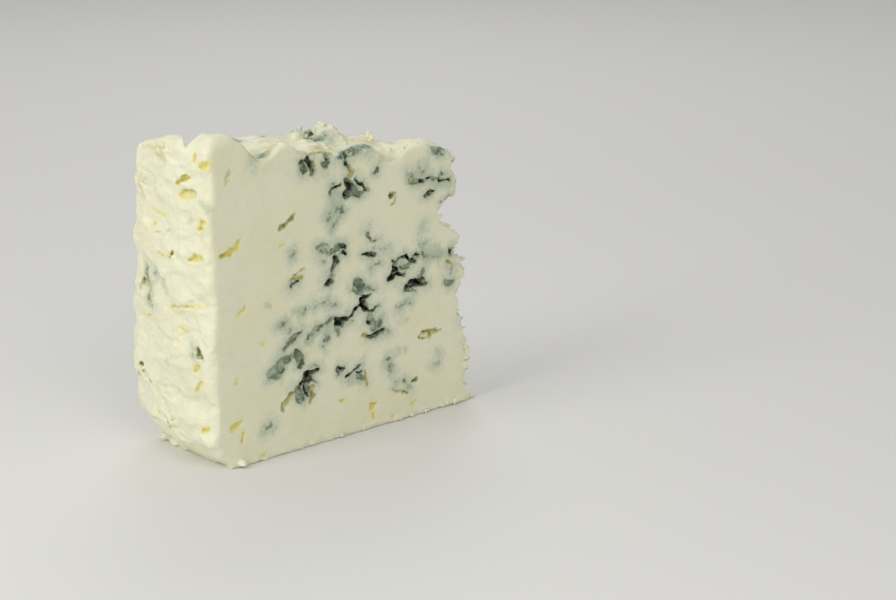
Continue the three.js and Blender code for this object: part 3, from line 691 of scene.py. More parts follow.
# %% Wandering veins for the back cut
chance = np.random.default_rng(20)
Wander = namedtuple("Wander", "count kind depth widest run")
BACK_WANDERS = [
    Wander(16, "void", 3.4, 2.8, 1.6),
    Wander(14, "crack", 1.8, 1.2, 2.6),
    Wander(34, "hollow", 1.5, 3, 2),
    Wander(26, "stain", 0.6, 1.9, 2),
    Wander(18, "pale", 0.5, 3, 2),
    Wander(10, "olive", 1, 1.8, 2),
    Wander(16, "eye", 1.2, 1.6, 1.4),
]


def wandering_rows(wander):
    """Rows for the veins of one kind. Each has two to five stops, and bends at each."""
    rows = []
    for _ in range(wander.count):
        from_rim = chance.uniform(5, 88) if wander.kind == "eye" else chance.normal(54, 19)
        here = np.array([np.clip(from_rim, 5, 88), chance.uniform(5, 78)])
        heading = math.radians(chance.normal(35, 45))
        stops = []
        for _ in range(chance.integers(2, 6)):
            stops.append((*here.tolist(), wander.widest * chance.uniform(0.35, 1)))
            step = np.array([math.cos(heading), math.sin(heading)])
            here = here + wander.run * chance.uniform(0.5, 1.4) * step
            heading += math.radians(chance.normal(0, 40))
        rows.append((wander.kind, wander.depth * chance.uniform(0.7, 1.2), stops))
    return rows


BACK_VOIDS = [
    ("void", 3, [(17, 28.6, 2.2), (20, 30.2, 3.4), (23, 31.6, 2)]),
    ("void", 4, [(29, 59.4, 2), (30, 62, 3.2), (31.4, 64.6, 2)]),
    ("void", 4, [(35, 42.6, 2.4), (38, 44, 4), (41.4, 45.6, 2.2)]),
    ("void", 3, [(49, 20.4, 2), (47, 22, 3.2), (45, 23.6, 1.8)]),
    ("void", 4, [(50.4, 55.8, 2.4), (53, 58, 4), (55.6, 60.4, 2)]),
    ("void", 3.5, [(57.6, 35.4, 1.8), (61, 36, 3.2), (64.6, 36.6, 1.8)]),
    ("void", 3, [(69, 64.2, 2), (70, 66, 3.4), (71, 68, 2)]),
]
veins = on_cut(-1, FRONT_FOOT + FRONT_MIDDLE + FRONT_SHOULDER + FRONT_CROWN + FRONT_EYES)
veins += on_cut(1, BACK_VOIDS + [row for wander in BACK_WANDERS for row in wandering_rows(wander)])
veins += on_rim(RIM_VEINS) + on_top(TOP_VEINS) + on_torn(TORN_VEINS)
print(len(veins), "veins and eyes")

# %% [markdown]
# ## From places to distances
# The warp moves each place a little before a vein is measured from it, so that straight runs get
# outlines as ragged as torn paste. It is the same for the shape and for the colours, so that the
# mould ends where its pocket does. The stops are shifted too, which keeps each vein in its place.

# %% Ragged veins
OUTLINE_WARP = [(2.8, 0.7), (1.3, 0.42), (0.7, 0.2)]  # size of the lumps and how far they shift
CARVED_KINDS = ("void", "crack", "hollow", "olive", "eye", "crease")
WALL_POWER = {"void": 4, "crack": 4, "hollow": 3}  # 2 is a round bowl, and more has steeper walls
LIP_RISE, LIP_REACH = 0.12, 0.8


def warped(place):
    """Each place, shifted along X, Y and Z by lumps of three sizes."""
    shifted = []
    for axis, v in enumerate(place):
        for n, (size, shift) in enumerate(OUTLINE_WARP):
            v = v + shift * turned_lumps(place, size, 300 + 10 * axis + n)
        shifted.append(v)
    return shifted


def warped_stops(vein):
    """The vein with its stops shifted as places are, so that it runs where its row says."""
    columns = warped([np.array(column) for column in zip(*vein.points)])
    return vein._replace(points=list(np.stack(columns, axis=1)))


veins = [warped_stops(vein) for vein in veins]


def vein_distance(vein, place, least_depth=0.0):
    """How far places, already warped, are outside a vein. Thin stretches are also shallower."""
    found = np.full(place[0].shape, np.inf, np.float32)
    power = WALL_POWER.get(vein.kind, 2)
    stops = list(zip(vein.points, vein.widths))
    for (start, first_width), (end, last_width) in zip(stops, stops[1:] or stops):
        run = end - start
        offset = [v - s for v, s in zip(place, start)]
        share = np.clip(sum(o * r for o, r in zip(offset, run)) / max(run @ run, 1e-6), 0, 1)
        away = [o - share * r for o, r in zip(offset, run)]
        radius = mix(first_width, last_width, share) / 2
        deep = np.maximum(vein.depth * np.sqrt(2 * radius / max(vein.widths)), least_depth)
        out = sum(a * n for a, n in zip(away, vein.outward))
        beside = np.sqrt(np.maximum(sum(a * a for a in away) - out**2, 0))
        aside, down = beside / radius, np.abs(out + 0.15 * deep) / deep
        near = (aside**power + down**power) ** (1 / power)
        slope = np.hypot(aside ** (power - 1) / radius, down ** (power - 1) / deep)
        found = np.minimum(found, (near - 1) * near ** (power - 1) / np.maximum(slope, 1e-4))
    return found


# %% [markdown]
# ## Flakes
# Where the wedge was torn or dragged, small pointed flakes stand out: all over the torn end, along
# the foot, where the wire came out at the board, and on the top's edges. A flake is a round bar
# that tapers from its root to its tip, and the warp makes it ragged too.

# %% Place the flakes
Flake = namedtuple("Flake", "root tip root_width tip_width")


def flake_at(root, direction, length, width):
    direction = np.array(direction, float)
    direction /= np.linalg.norm(direction)
    root = np.array(root, float) - direction * width * 0.5
    return Flake(root, root + direction * (length + width * 0.5), width, width * 0.3)


flakes = []
for _ in range(110):  # torn end
    z = chance.uniform(1, 76)
    across = chance.uniform(-1, 1) * (TORN_WIDTH / 2 - 0.2)
    root = (float(torn_reach(z)) - LENGTH / 2, across, z)
    direction = (1, chance.normal(0, 0.5), chance.normal(-0.1, 0.45))
    flakes.append(flake_at(root, direction, chance.uniform(0.5, 2), chance.uniform(0.8, 1.9)))
for _ in range(120):  # foot of the two cuts
    along, side = chance.uniform(15, 97), chance.choice([-1, 1])
    root = (along - LENGTH / 2, side * (float(half_width(along)) - 0.3), chance.uniform(0.2, 1))
    direction = (chance.normal(0, 0.5), side, chance.normal(-0.3, 0.3))
    flakes.append(flake_at(root, direction, chance.uniform(0.2, 1.2), chance.uniform(0.6, 1.6)))
for _ in range(70):  # edges of the top
    along, side = chance.uniform(30, 96), chance.choice([-1, 1])
    across = side * (float(half_width(along)) * chance.uniform(0.5, 0.95))
    root = (along - LENGTH / 2, across, float(top_height(along, across)))
    direction = (chance.normal(0, 0.7), side * chance.uniform(0, 0.6), 1)
    flakes.append(flake_at(root, direction, chance.uniform(0.2, 0.9), chance.uniform(0.7, 1.8)))
for _ in range(46):  # crest
    along, across = chance.normal(53, 3.6), chance.normal(3, 3)
    root = (along - LENGTH / 2, across, float(top_height(along, across)))
    direction = (chance.normal(0, 0.8), chance.normal(0, 0.8), 1)
    flakes.append(flake_at(root, direction, chance.uniform(0.2, 1.3), chance.uniform(1, 2.4)))
flakes.append(flake_at((-43, 12.4, 1.9), (-1, 0.3, -0.3), 2.2, 2.4))  # nub under the rim
flakes.append(flake_at((-35.8, -19.2, 1.2), (-0.2, -1, -0.1), 1.2, 2.6))  # chunk at the cut's foot
flakes.append(flake_at((19.2, 2, 84.4), (0.1, 0.1, 1), 1.2, 1.9))  # spike behind the crest
flakes.append(flake_at((-33.7, -16.6, 82.4), (0.1, -1, 0), 0.6, 4.4))  # lump that stands out of the cut
print(len(flakes), "flakes")


def flake_distance(flake, place):
    run = flake.tip - flake.root
    offset = [v - r for v, r in zip(place, flake.root)]
    share = np.clip(sum(o * r for o, r in zip(offset, run)) / (run @ run), 0, 1)
    away = np.sqrt(sum((o - share * r) ** 2 for o, r in zip(offset, run)))
    return away - mix(flake.root_width, flake.tip_width, share) / 2


# %% [markdown]
# ## The field on a grid
# The whole block is sampled on a grid of points. Far from the skin only the sign matters, so the
# costly lumps are worked out in a thin band round it, and each pocket only in its own small box.

# %% Sample the block
GRID_STEP = 0.42
BAND = 3.4  # mm each side of the plain block that the relief can reach
MARGIN = 3.0  # mm round the solid's box. A flake at the torn end's foot passes it, so it ends open
LAYERS_BELOW = 2.5  # grid steps under the base
LIP_TOP = 4.0  # mm, above which the lip has no part
LIP_MELT = 1.2  # mm over which the lip melts into the block
JUST_OUTSIDE = 0.3  # mm, for everything at and under the base, which makes it flat
FLAKE_ROOM, VEIN_ROOM = 1.5, 2.5  # mm round a flake or a vein that the warp and its lip can reach

low = np.array(cad_box[0]) / MM - MARGIN
high = np.array(cad_box[1]) / MM + MARGIN
low[2] = -LAYERS_BELOW * GRID_STEP
axes = [np.arange(a, b, GRID_STEP, dtype=np.float32) for a, b in zip(low, high)]
grid = [axes[0][:, None, None], axes[1][None, :, None], axes[2][None, None, :]]
field = block_distance(grid, *sides(grid)).astype(np.float32)
near_skin = np.nonzero(np.abs(field) < BAND)
skin_places = [axis[index] for axis, index in zip(axes, near_skin)]
field[near_skin] = cheese_skin(skin_places)
near_base = axes[2] < LIP_TOP
lip = foot_lip(np.broadcast_arrays(*grid[:2], grid[2][:, :, near_base]))
field[:, :, near_base] = melted(field[:, :, near_base], lip, LIP_MELT)
print("grid", field.shape, "with", len(near_skin[0]), "points near the skin")

# %% Add the flakes and hollow out the veins
def box_round(points, reach):
    """The slices of the grid that hold these points and everything within reach of them."""
    slices = []
    for low_end, high_end, axis in zip(np.min(points, axis=0), np.max(points, axis=0), axes):
        first, last = np.searchsorted(axis, [low_end - reach, high_end + reach])
        slices.append(slice(int(first), int(last)))
    return tuple(slices)


def box_places(box):
    xs, ys, zs = np.meshgrid(*(axis[s] for axis, s in zip(axes, box)), indexing="ij")
    return warped([v.ravel() for v in (xs, ys, zs)])


def add_flake(field, flake):
    box = box_round([flake.root, flake.tip], flake.root_width + FLAKE_ROOM)
    if 0 not in field[box].shape:
        distance = flake_distance(flake, box_places(box)).reshape(field[box].shape)
        field[box] = np.minimum(field[box], distance)


def hollow_out(field, vein):
    box = box_round(vein.points, max(max(vein.widths) / 2, vein.depth) + VEIN_ROOM)
    if 0 not in field[box].shape:
        inside = -vein_distance(vein, box_places(box)).reshape(field[box].shape)
        lip_rise = 0 if vein.kind in ("eye", "crease") else LIP_RISE
        lip = lip_rise * np.exp(-((inside / LIP_REACH) ** 2))
        field[box] = np.maximum(field[box] - lip, inside)


for flake in flakes:
    add_flake(field, flake)
for vein in veins:
    if vein.kind in CARVED_KINDS:
        hollow_out(field, vein)
under = axes[2] <= 0
field[:, :, under] = np.maximum(field[:, :, under], JUST_OUTSIDE)
print("hollowed out", sum(vein.kind in CARVED_KINDS for vein in veins))

# %% [markdown]
# ## From the field to a mesh
# Surface nets put one point in each grid cell that the skin passes through, at the mean of the
# places where the cell's edges cross zero, and one four-sided face round each crossed edge. That
# gives even faces everywhere, which a mesh made of stretched and joined shapes would not have.
# Where two bits of skin pass through one cell they share its point, so some edges get four faces.

# %% Surface nets
CORNERS = [(i, j, k) for i in (0, 1) for j in (0, 1) for k in (0, 1)]
EDGES = [(a, b) for a in range(8) for b in range(a + 1, 8) if bin(a ^ b).count("1") == 1]


def net_points(field):
    """The cells that the skin passes through, and the point in each, in grid steps."""
    inside = field < 0
    counts = np.zeros([n - 1 for n in field.shape], np.int8)
    for i, j, k in CORNERS:
        counts += inside[i : i + counts.shape[0], j : j + counts.shape[1], k : k + counts.shape[2]]
    cells = np.stack(np.nonzero((counts > 0) & (counts < 8)), axis=1)
    values = np.stack([field[tuple((cells + corner).T)] for corner in CORNERS], axis=1)
    total = np.zeros((len(cells), 3), np.float32)
    crossed = np.zeros((len(cells), 1), np.float32)
    for a, b in EDGES:
        va, vb = values[:, a], values[:, b]
        crosses = (va < 0) != (vb < 0)
        share = np.where(crosses, va / np.where(crosses, va - vb, 1), 0)[:, None]
        start, end = np.array(CORNERS[a]), np.array(CORNERS[b])
        total += np.where(crosses[:, None], start + (end - start) * share, 0)
        crossed += crosses[:, None]
    return cells, cells + total / crossed


def net_faces(field, cells):
    """One four-sided face round each grid edge that crosses the skin."""
    number = np.full(field.shape, -1, np.int32)
    number[tuple(cells.T)] = np.arange(len(cells))
    inside = field < 0
    faces = []
    for axis in range(3):
        b, c = (axis + 1) % 3, (axis + 2) % 3
        ahead = np.roll(inside, -1, axis)
        for starts, flipped in ((inside & ~ahead, False), (~inside & ahead, True)):
            edges = np.stack(np.nonzero(starts), axis=1)
            step_b, step_c = np.eye(3, dtype=int)[b], np.eye(3, dtype=int)[c]
            ring = [edges - step_b - step_c, edges - step_c, edges, edges - step_b]
            quads = np.stack([number[tuple(r.T)] for r in ring], axis=1)
            faces.append(quads[:, ::-1] if flipped else quads)
    return np.concatenate(faces)


def main_shell(faces, count):
    """True for the points of the largest connected shell, which leaves loose specks out."""
    label = np.arange(count)
    while True:
        lowest = np.repeat(label[faces].min(axis=1), 4)
        merged = label.copy()
        np.minimum.at(merged, faces.ravel(), lowest)
        merged = merged[merged]
        if np.array_equal(merged, label):
            break
        label = merged
    names, sizes = np.unique(label, return_counts=True)
    return label == names[sizes.argmax()]


cells, net = net_points(field)
faces = net_faces(field, cells)
kept = main_shell(faces, len(net))
faces = faces[kept[faces].all(axis=1)]
renumbered = np.cumsum(kept) - 1
faces = renumbered[faces]
points = np.array([axis[0] for axis in axes]) + net[kept] * GRID_STEP
points[:, 2] = np.maximum(points[:, 2], 0)
print(len(points), "points and", len(faces), "faces")

# %% [markdown]
# ## The mesh, with what the colours need to know
# The colours depend on how far each point is from mould and from an eye, how deep below the skin
# it lies, and what kind of surface it is on. These are stored on the points as attributes, in
# millimetres, so that the material can draw a crisp edge exactly where the distance is zero.
# Joining flat faces to lighten the mesh leaves a few triangles doubled.

# %% Build the wedge
MOST_FACES = 190000


def mesh_from(name, points, faces):
    mesh = bpy.data.meshes.new(name)
    mesh.from_pydata((points * MM).tolist(), [], faces.tolist())
    mesh.validate()
    mesh.shade_smooth()
    made = bpy.data.objects.new(name, mesh)
    bpy.context.scene.collection.objects.link(made)
    return made


def lightened(piece, most_faces):
    """Joins small flat faces until no more than this many triangles are left."""
    triangles = sum(len(polygon.vertices) - 2 for polygon in piece.data.polygons)
    fewer = piece.modifiers.new("fewer faces", "DECIMATE")
    fewer.ratio = min(1, most_faces / triangles)
    depsgraph = bpy.context.evaluated_depsgraph_get()
    mesh = bpy.data.meshes.new_from_object(piece.evaluated_get(depsgraph))
    piece.modifiers.clear()
    piece.data = mesh
    mesh.shade_smooth()
    return piece


wedge = lightened(mesh_from("wedge", points, faces), MOST_FACES)
print("the wedge has", len(wedge.data.polygons), "faces")

# %% Measure each point of the wedge
FAR = 6.0  # mm, where a distance stops mattering
SHADE_DEPTH = 1.6  # mm, so that relief doesn't lift a flush stain's own surface out of it
COLOUR_GROUPS = {
    "to_mould": ("void", "crack", "hollow"),
    "to_stain": ("stain",),
    # distance to voids and cracks, where the material paints their shade
    "to_shaded_voids": ("void", "crack"),
    "to_pale": ("pale",),
    "to_olive": ("olive",),
    "to_tan": ("tan",),
    "to_eye": ("eye",),
}


def mesh_places(piece):
    flat = np.empty(len(piece.data.vertices) * 3, np.float32)
    piece.data.vertices.foreach_get("co", flat)
    return [column / MM for column in flat.reshape(-1, 3).T]


def nearest(kinds, place, bent):
    """The distance from each place to the nearest vein of these kinds."""
    distance = np.full(place[0].shape, FAR, np.float32)
    for vein in veins:
        if vein.kind not in kinds:
            continue
        points = np.array(vein.points)
        reach = max(vein.widths) / 2 + FAR
        close = np.ones(len(distance), bool)
        for v, low_end, high_end in zip(place, points.min(axis=0), points.max(axis=0)):
            close &= (v > low_end - reach) & (v < high_end + reach)
        found = vein_distance(vein, [v[close] for v in bent], SHADE_DEPTH)
        distance[close] = np.minimum(distance[close], found)
    return distance


def store(piece, name, values):
    attribute = piece.data.attributes.new(name, "FLOAT", "POINT")
    attribute.data.foreach_set("value", np.ascontiguousarray(values, np.float32))


def rough_share(place):
    """1 on the rim, top and torn end, and 0 on the smooth cut faces."""
    front, back, rim, torn, top = sides(place)
    other = np.maximum(np.maximum(rim, torn), top)
    return np.clip(1 + (other - np.maximum(front, back) * 0.6) / 1.2, 0, 1)


def measure(piece):
    place = mesh_places(piece)
    bent = warped(place)
    for name, kinds in COLOUR_GROUPS.items():
        store(piece, name, nearest(kinds, place, bent))
    # depth below the skin, with which the material paints shade in pockets, olive mould and eyes
    store(piece, "depth", -block_distance(place, *sides(place)))
    store(piece, "rough", rough_share(place))
    return place


place = measure(wedge)

# %% [markdown]
# ## Crumbs
# Dry crumbs break off along the foot and on the crest. Each is a small ball with lumps, cut from
# the same round mesh, and they are joined into one piece. Each one touches the wedge.

# %% Make the crumbs
CRUMB_SIZES = (0.6, 2.2)  # mm across
FOOT_CRUMBS, CREST_CRUMBS = 70, 30
CORNER_KEPT_CLEAR = 17  # mm in from the rim, where no crumbs lie


def ball(detail):
    shape = bmesh.new()
    bmesh.ops.create_icosphere(shape, subdivisions=detail, radius=1)
    points = np.array([v.co for v in shape.verts])
    faces = np.array([[v.index for v in face.verts] for face in shape.faces])
    shape.free()
    return points, faces


def crumb(place, size, number):
    """One uneven crumb's points, in millimetres."""
    points, _ = unit_ball
    shape = points * np.array([1, chance.uniform(0.6, 1), chance.uniform(0.55, 0.9)])
    lumpy = [shape[:, n] + 10 * number for n in range(3)]
    swell = 1 + 0.35 * turned_lumps(lumpy, 0.8, 401) + 0.15 * turned_lumps(lumpy, 0.4, 402)
    turn = np.array(Euler(chance.uniform(0, 6, 3).tolist()).to_matrix())
    return (shape * swell[:, None]) @ turn.T * size / 2 + place


def crumb_places(count, chosen):
    """Places on the wedge's own points, picked by chance from those chosen."""
    candidates = np.nonzero(chosen)[0]
    picked = chance.choice(candidates, count, replace=False)
    return np.stack([v[picked] for v in place], axis=1)


unit_ball = ball(2)
above_crest = (place[2] > 86) & (np.abs(place[0] + LENGTH / 2 - 52) < 9)
at_foot = (place[2] < 0.9) & (place[2] > 0.15) & (sides(place)[2] < -CORNER_KEPT_CLEAR)
spots = [crumb_places(FOOT_CRUMBS, at_foot), crumb_places(CREST_CRUMBS, above_crest)]
spots = np.concatenate(spots)
sizes = mix(*CRUMB_SIZES, chance.uniform(0, 1, len(spots)) ** 2)
crumb_points = [crumb(spot, size, n) for n, (spot, size) in enumerate(zip(spots, sizes))]
for shape in crumb_points:
    shape[:, 2] -= min(0, shape[:, 2].min())
crumb_faces = [unit_ball[1] + n * len(unit_ball[0]) for n in range(len(spots))]
crumbs = mesh_from("crumbs", np.concatenate(crumb_points), np.concatenate(crumb_faces))
measure(crumbs)
print(len(spots), "crumbs,", len(crumbs.data.polygons), "faces")

# %% [markdown]
# ## The paste and its mould
# Paste lets light in and scatters it a little way under its skin, which softens all its shadows.
# Near the mould it turns bluish white. The mould itself is a grey-blue felt, light where it is
# thick and dry, and painted darker with depth, down to nearly black in the voids, as the shade
# down there; it has an olive rim where it has eaten into the paste. The eyes are wet and golden.

# %% Helpers for materials
def tint(red, green, blue):
    """A colour given as it looks on a screen, 0 to 255, as the linear numbers a shader needs."""
    shares = [v / 255 for v in (red, green, blue)]
    return tuple(v / 12.92 if v <= 0.04045 else ((v + 0.055) / 1.055) ** 2.4 for v in shares) + (1,)


class Maker:
    """Adds nodes to one material. A value may be a plain number or another node's output."""

    def __init__(self, name):
        self.material = bpy.data.materials.new(name)
        self.material.use_nodes = True
        self.tree = self.material.node_tree
        self.tree.nodes.clear()

    def node(self, kind, **settings):
        made = self.tree.nodes.new(kind)
        for key, value in settings.items():
            setattr(made, key, value)
        return made

    def put(self, socket, value):
        if isinstance(value, bpy.types.NodeSocket):
            self.tree.links.new(value, socket)
        else:
            socket.default_value = value

    def math(self, operation, a, b=0.0):
        made = self.node("ShaderNodeMath", operation=operation)
        self.put(made.inputs[0], a)
        self.put(made.inputs[1], b)
        return made.outputs[0]

    def smooth(self, value, start, end):
        """0 before start and 1 after end, with a soft step between; it also runs downwards."""
        made = self.node("ShaderNodeMapRange", interpolation_type="SMOOTHSTEP")
        self.put(made.inputs["Value"], value)
        made.inputs["From Min"].default_value = min(start, end)
        made.inputs["From Max"].default_value = max(start, end)
        made.inputs["To Min"].default_value = float(start > end)
        made.inputs["To Max"].default_value = float(start < end)
        return made.outputs["Result"]

    def blend(self, share, a, b):
        made = self.node("ShaderNodeMix", data_type="RGBA")
        self.put(made.inputs["Factor"], share)
        self.put(made.inputs[6], a)
        self.put(made.inputs[7], b)
        return made.outputs[2]

    def times(self, a, b):
        return self.math("MULTIPLY", a, b)

    def layer(self, under, share, strength, over):
        """The colour over laid on the colour under, as thickly as share and strength say."""
        return self.blend(self.times(share, strength), under, over)

    def stored(self, name):
        return self.node("ShaderNodeAttribute", attribute_name=name).outputs["Fac"]

    def grain(self, place, size, detail=3.0, roughness=0.55):
        """Noise whose lumps are about this many millimetres across."""
        made = self.node("ShaderNodeTexNoise")
        self.put(made.inputs["Vector"], place)
        made.inputs["Scale"].default_value = 1 / (size * MM)
        made.inputs["Detail"].default_value = detail
        made.inputs["Roughness"].default_value = roughness
        return made.outputs["Fac"]


# %% Colours
CREAM = tint(236, 235, 208)
BUTTER = tint(235, 230, 194)
BLUISH = tint(216, 221, 198)
HALO = tint(200, 208, 183)
HAZE = tint(182, 192, 166)
STAIN_LIGHT = tint(180, 191, 168)
STAIN_DARK = tint(112, 126, 100)
FELT_LIGHT = tint(194, 206, 184)
FELT = tint(150, 164, 140)
# dark felt for threads and edge lines, and also painted shade deep in pockets, voids and cracks
FELT_DARK_AND_SHADE = tint(66, 79, 58)
# painted shade: nearly black, deep inside voids and cracks
SHADE_IN_VOIDS = tint(9, 13, 11)
OLIVE = tint(184, 176, 78)
# dark olive for the olive's broken edge lines, and also painted shade where olive lies deeper
OLIVE_DARK_AND_SHADE = tint(104, 98, 34)
TAN = tint(206, 196, 138)
PALE_GOLD = tint(234, 227, 156)
GOLD = tint(228, 214, 100)
# painted shade: browner gold in the depths of the eyes
GOLD_SHADE = tint(130, 121, 38)


# %% [markdown]
# ## Noises and edges
# Every layer of colour starts or ends at some distance from a vein. Those distances are moved in
# and out a little by noise, which gives each kind of mould its own ragged edge. The noises are
# made once and shared, so that neighbouring layers wander together.

# %% The maker that knows this cheese's noises and edges
class CheeseMaker(Maker):
    def __init__(self):
        super().__init__("blue_cheese")
        self.place = self.node("ShaderNodeTexCoord").outputs["Object"]
        self.depth, self.rough = self.stored("depth"), self.stored("rough")
        self.wander = self.math("SUBTRACT", self.grain(self.place, 1.2, 4, 0.6), 0.5)
        self.drift = self.math("SUBTRACT", self.grain(self.place, 3.6, 3), 0.5)
        self.threads = self.math("ABSOLUTE", self.math("SUBTRACT", self.grain(self.place, 1.3, 3), 0.5))
        # where a line shows, and where not
        self.broken = self.smooth(self.grain(self.place, 2.6, 2), 0.46, 0.58)
        self.mould_edge = self.math("SUBTRACT", self.ragged("to_mould", 1.0), 0.05)
        self.stain_edge = self.ragged("to_stain", 1.5)
        self.olive_edge = self.ragged("to_olive", 1.4)
        self.any_edge = self.math("MINIMUM", self.mould_edge, self.stain_edge)
        self.mould_share = self.smooth(self.mould_edge, 0.3, -0.2)

    def ragged(self, name, reach):
        """A stored distance with its edge moved in and out by the noise."""
        return self.math("ADD", self.stored(name), self.times(self.wander, reach))

    def drifting(self, edge, reach):
        """A distance that broad noise moves, for soft patches."""
        return self.math("ADD", edge, self.times(self.drift, reach))


# %% [markdown]
# ## The paste
# Plain paste is cream with buttery patches. Round the veins it turns bluish white, then grey in
# a halo and a mealy haze, with a few dark specks. Dried smears are tan.

# %% Colour of the paste
def paste_colour(make):
    mottle = make.smooth(make.grain(make.place, 16, 2), 0.35, 0.65)
    colour = make.layer(CREAM, mottle, 0.55, BUTTER)
    curds = make.smooth(make.grain(make.place, 3.4, 3), 0.48, 0.72)
    return make.layer(colour, curds, 0.22, BLUISH)


def hazed(make, colour):
    around = make.drifting(make.any_edge, 5.0)
    colour = make.layer(colour, make.smooth(around, 4.2, 0.2), 0.7, BLUISH)
    halo = make.smooth(make.drifting(make.any_edge, 3.5), 2.4, -0.2)
    colour = make.layer(colour, halo, 0.65, HALO)
    pale_edge = make.ragged("to_pale", 3.0)
    colour = make.layer(colour, make.smooth(pale_edge, 1.4, -0.9), 0.6, HAZE)
    close = make.smooth(make.drifting(make.any_edge, 2.0), 1.0, -0.3)
    colour = make.layer(colour, close, 0.5, HAZE)
    mealy = make.smooth(make.grain(make.place, 1.1, 4, 0.65), 0.5, 0.6)
    colour = make.layer(colour, make.times(mealy, make.smooth(around, 3.4, 0.3)), 0.4, HAZE)
    specks = make.smooth(make.grain(make.place, 0.62, 2), 0.6, 0.7)
    colour = make.layer(colour, make.times(specks, make.smooth(around, 1.6, 0.0)), 0.3, STAIN_DARK)
    return make.layer(colour, make.smooth(make.ragged("to_tan", 2.0), 0.8, -0.7), 0.6, TAN)


# %% [markdown]
# ## The mould
# Olive mould is old, and is painted darker where it lies deeper, as shade in its pits. Stains are
# cloudy, with soft dark threads. Felt lines the pockets: pale in patches and dark in a broken line
# along its edge; it is painted darker with depth, and in voids and cracks, down to nearly black, as
# the shade down there. Eyes are golden, and are painted browner in their depths as shade.

# %% Colours of the mould and the eyes
def with_olive(make, colour):
    fringe = make.times(make.smooth(make.mould_edge, 0.9, 0.0), make.smooth(make.drift, 0.03, 0.12))
    colour = make.layer(colour, fringe, 0.6, OLIVE)
    olive = make.smooth(make.olive_edge, 0.5, -0.35)
    # painted shade: the olive darkens where it lies deeper
    old_olive_and_shade = make.blend(make.smooth(make.depth, 0.3, 1.2), OLIVE, OLIVE_DARK_AND_SHADE)
    colour = make.layer(colour, olive, 0.8, old_olive_and_shade)
    line = make.times(make.smooth(make.olive_edge, -0.5, 0.0), make.broken)
    return make.layer(colour, make.times(olive, line), 0.4, OLIVE_DARK_AND_SHADE)


def with_stains(make, colour):
    cloudy = make.smooth(make.grain(make.place, 1.9, 3), 0.36, 0.64)
    stain = make.smooth(make.stain_edge, 0.25, -0.3)
    colour = make.layer(colour, stain, 0.75, make.blend(cloudy, STAIN_DARK, STAIN_LIGHT))
    soft_threads = make.smooth(make.threads, 0.09, 0.0)
    return make.layer(colour, make.times(stain, soft_threads), 0.6, FELT_DARK_AND_SHADE)


# The felt that lines the pockets, with painted shade deep down and in voids and cracks.
def felt_and_shade_colour(make):
    patches = make.smooth(make.grain(make.place, 1.6, 4), 0.38, 0.62)
    thin_threads = make.smooth(make.threads, 0.05, 0.01)
    felt_and_shade = make.blend(patches, FELT, FELT_LIGHT)
    felt_and_shade = make.layer(felt_and_shade, make.times(thin_threads, patches), 0.3, FELT_DARK_AND_SHADE)
    line = make.times(make.smooth(make.mould_edge, -0.7, -0.05), make.broken)
    felt_and_shade = make.layer(felt_and_shade, line, 0.8, FELT_DARK_AND_SHADE)
    # painted shade: the felt darkens with depth below the skin
    felt_and_shade = make.layer(felt_and_shade, make.smooth(make.depth, 1.3, 2.8), 0.7, FELT_DARK_AND_SHADE)
    # painted shade: voids and cracks darkened, and nearly black where they go deeper
    void_and_crack_shade = make.smooth(make.ragged("to_shaded_voids", 0.7), 0.12, -0.25)
    felt_and_shade = make.layer(felt_and_shade, void_and_crack_shade, 0.7, FELT_DARK_AND_SHADE)
    felt_and_shade = make.blend(make.times(void_and_crack_shade, make.smooth(make.depth, 0.1, 0.5)), felt_and_shade, SHADE_IN_VOIDS)
    # painted shade: nearly black deep down in any pocket
    return make.blend(make.smooth(make.depth, 2.3, 3.4), felt_and_shade, SHADE_IN_VOIDS)


def with_eyes(make, colour):
    edge = make.ragged("to_eye", 1.1)
    # painted shade: the gold turns browner with depth in the eye's pit
    gold_and_shade = make.blend(make.smooth(make.depth, 1.2, 2.6), GOLD, GOLD_SHADE)
    colour = make.layer(colour, make.smooth(edge, 1.1, -0.2), 0.5, PALE_GOLD)
    return make.layer(colour, make.smooth(edge, 0.3, -0.5), 0.8, gold_and_shade)


# %% [markdown]
# ## Shine and grain
# The paste is moist, so it has patches that shine, and the felt is dull. A bump map adds grain
# that is too fine for the mesh, with strokes along the cuts that the wire left.

# %% Finish of the surface
def roughness(make):
    paste = make.math("MULTIPLY_ADD", make.grain(make.place, 2.4, 3), 0.3)
    paste.node.inputs[2].default_value = 0.3
    return make.math("MAXIMUM", paste, make.times(make.mould_share, 0.85))


def grainy_normal(make):
    along_cuts = make.node("ShaderNodeMapping")
    make.put(along_cuts.inputs["Vector"], make.place)
    along_cuts.inputs["Scale"].default_value = (0.16, 0.16, 1)
    strokes = make.grain(along_cuts.outputs["Vector"], 0.55, 2)
    fine, coarse = make.grain(make.place, 0.3, 4, 0.65), make.grain(make.place, 1.0, 3)
    height = make.math("ADD", make.times(fine, 0.5), coarse)
    height = make.math("ADD", height, make.times(strokes, 0.4))
    strength = make.math("MULTIPLY_ADD", make.rough, 0.1)
    strength.node.inputs[2].default_value = 0.5
    bump = make.node("ShaderNodeBump")
    make.put(bump.inputs["Strength"], make.math("MAXIMUM", strength, make.times(make.mould_share, 0.8)))
    bump.inputs["Distance"].default_value = 0.4 * MM
    make.put(bump.inputs["Height"], height)
    return bump.outputs["Normal"]


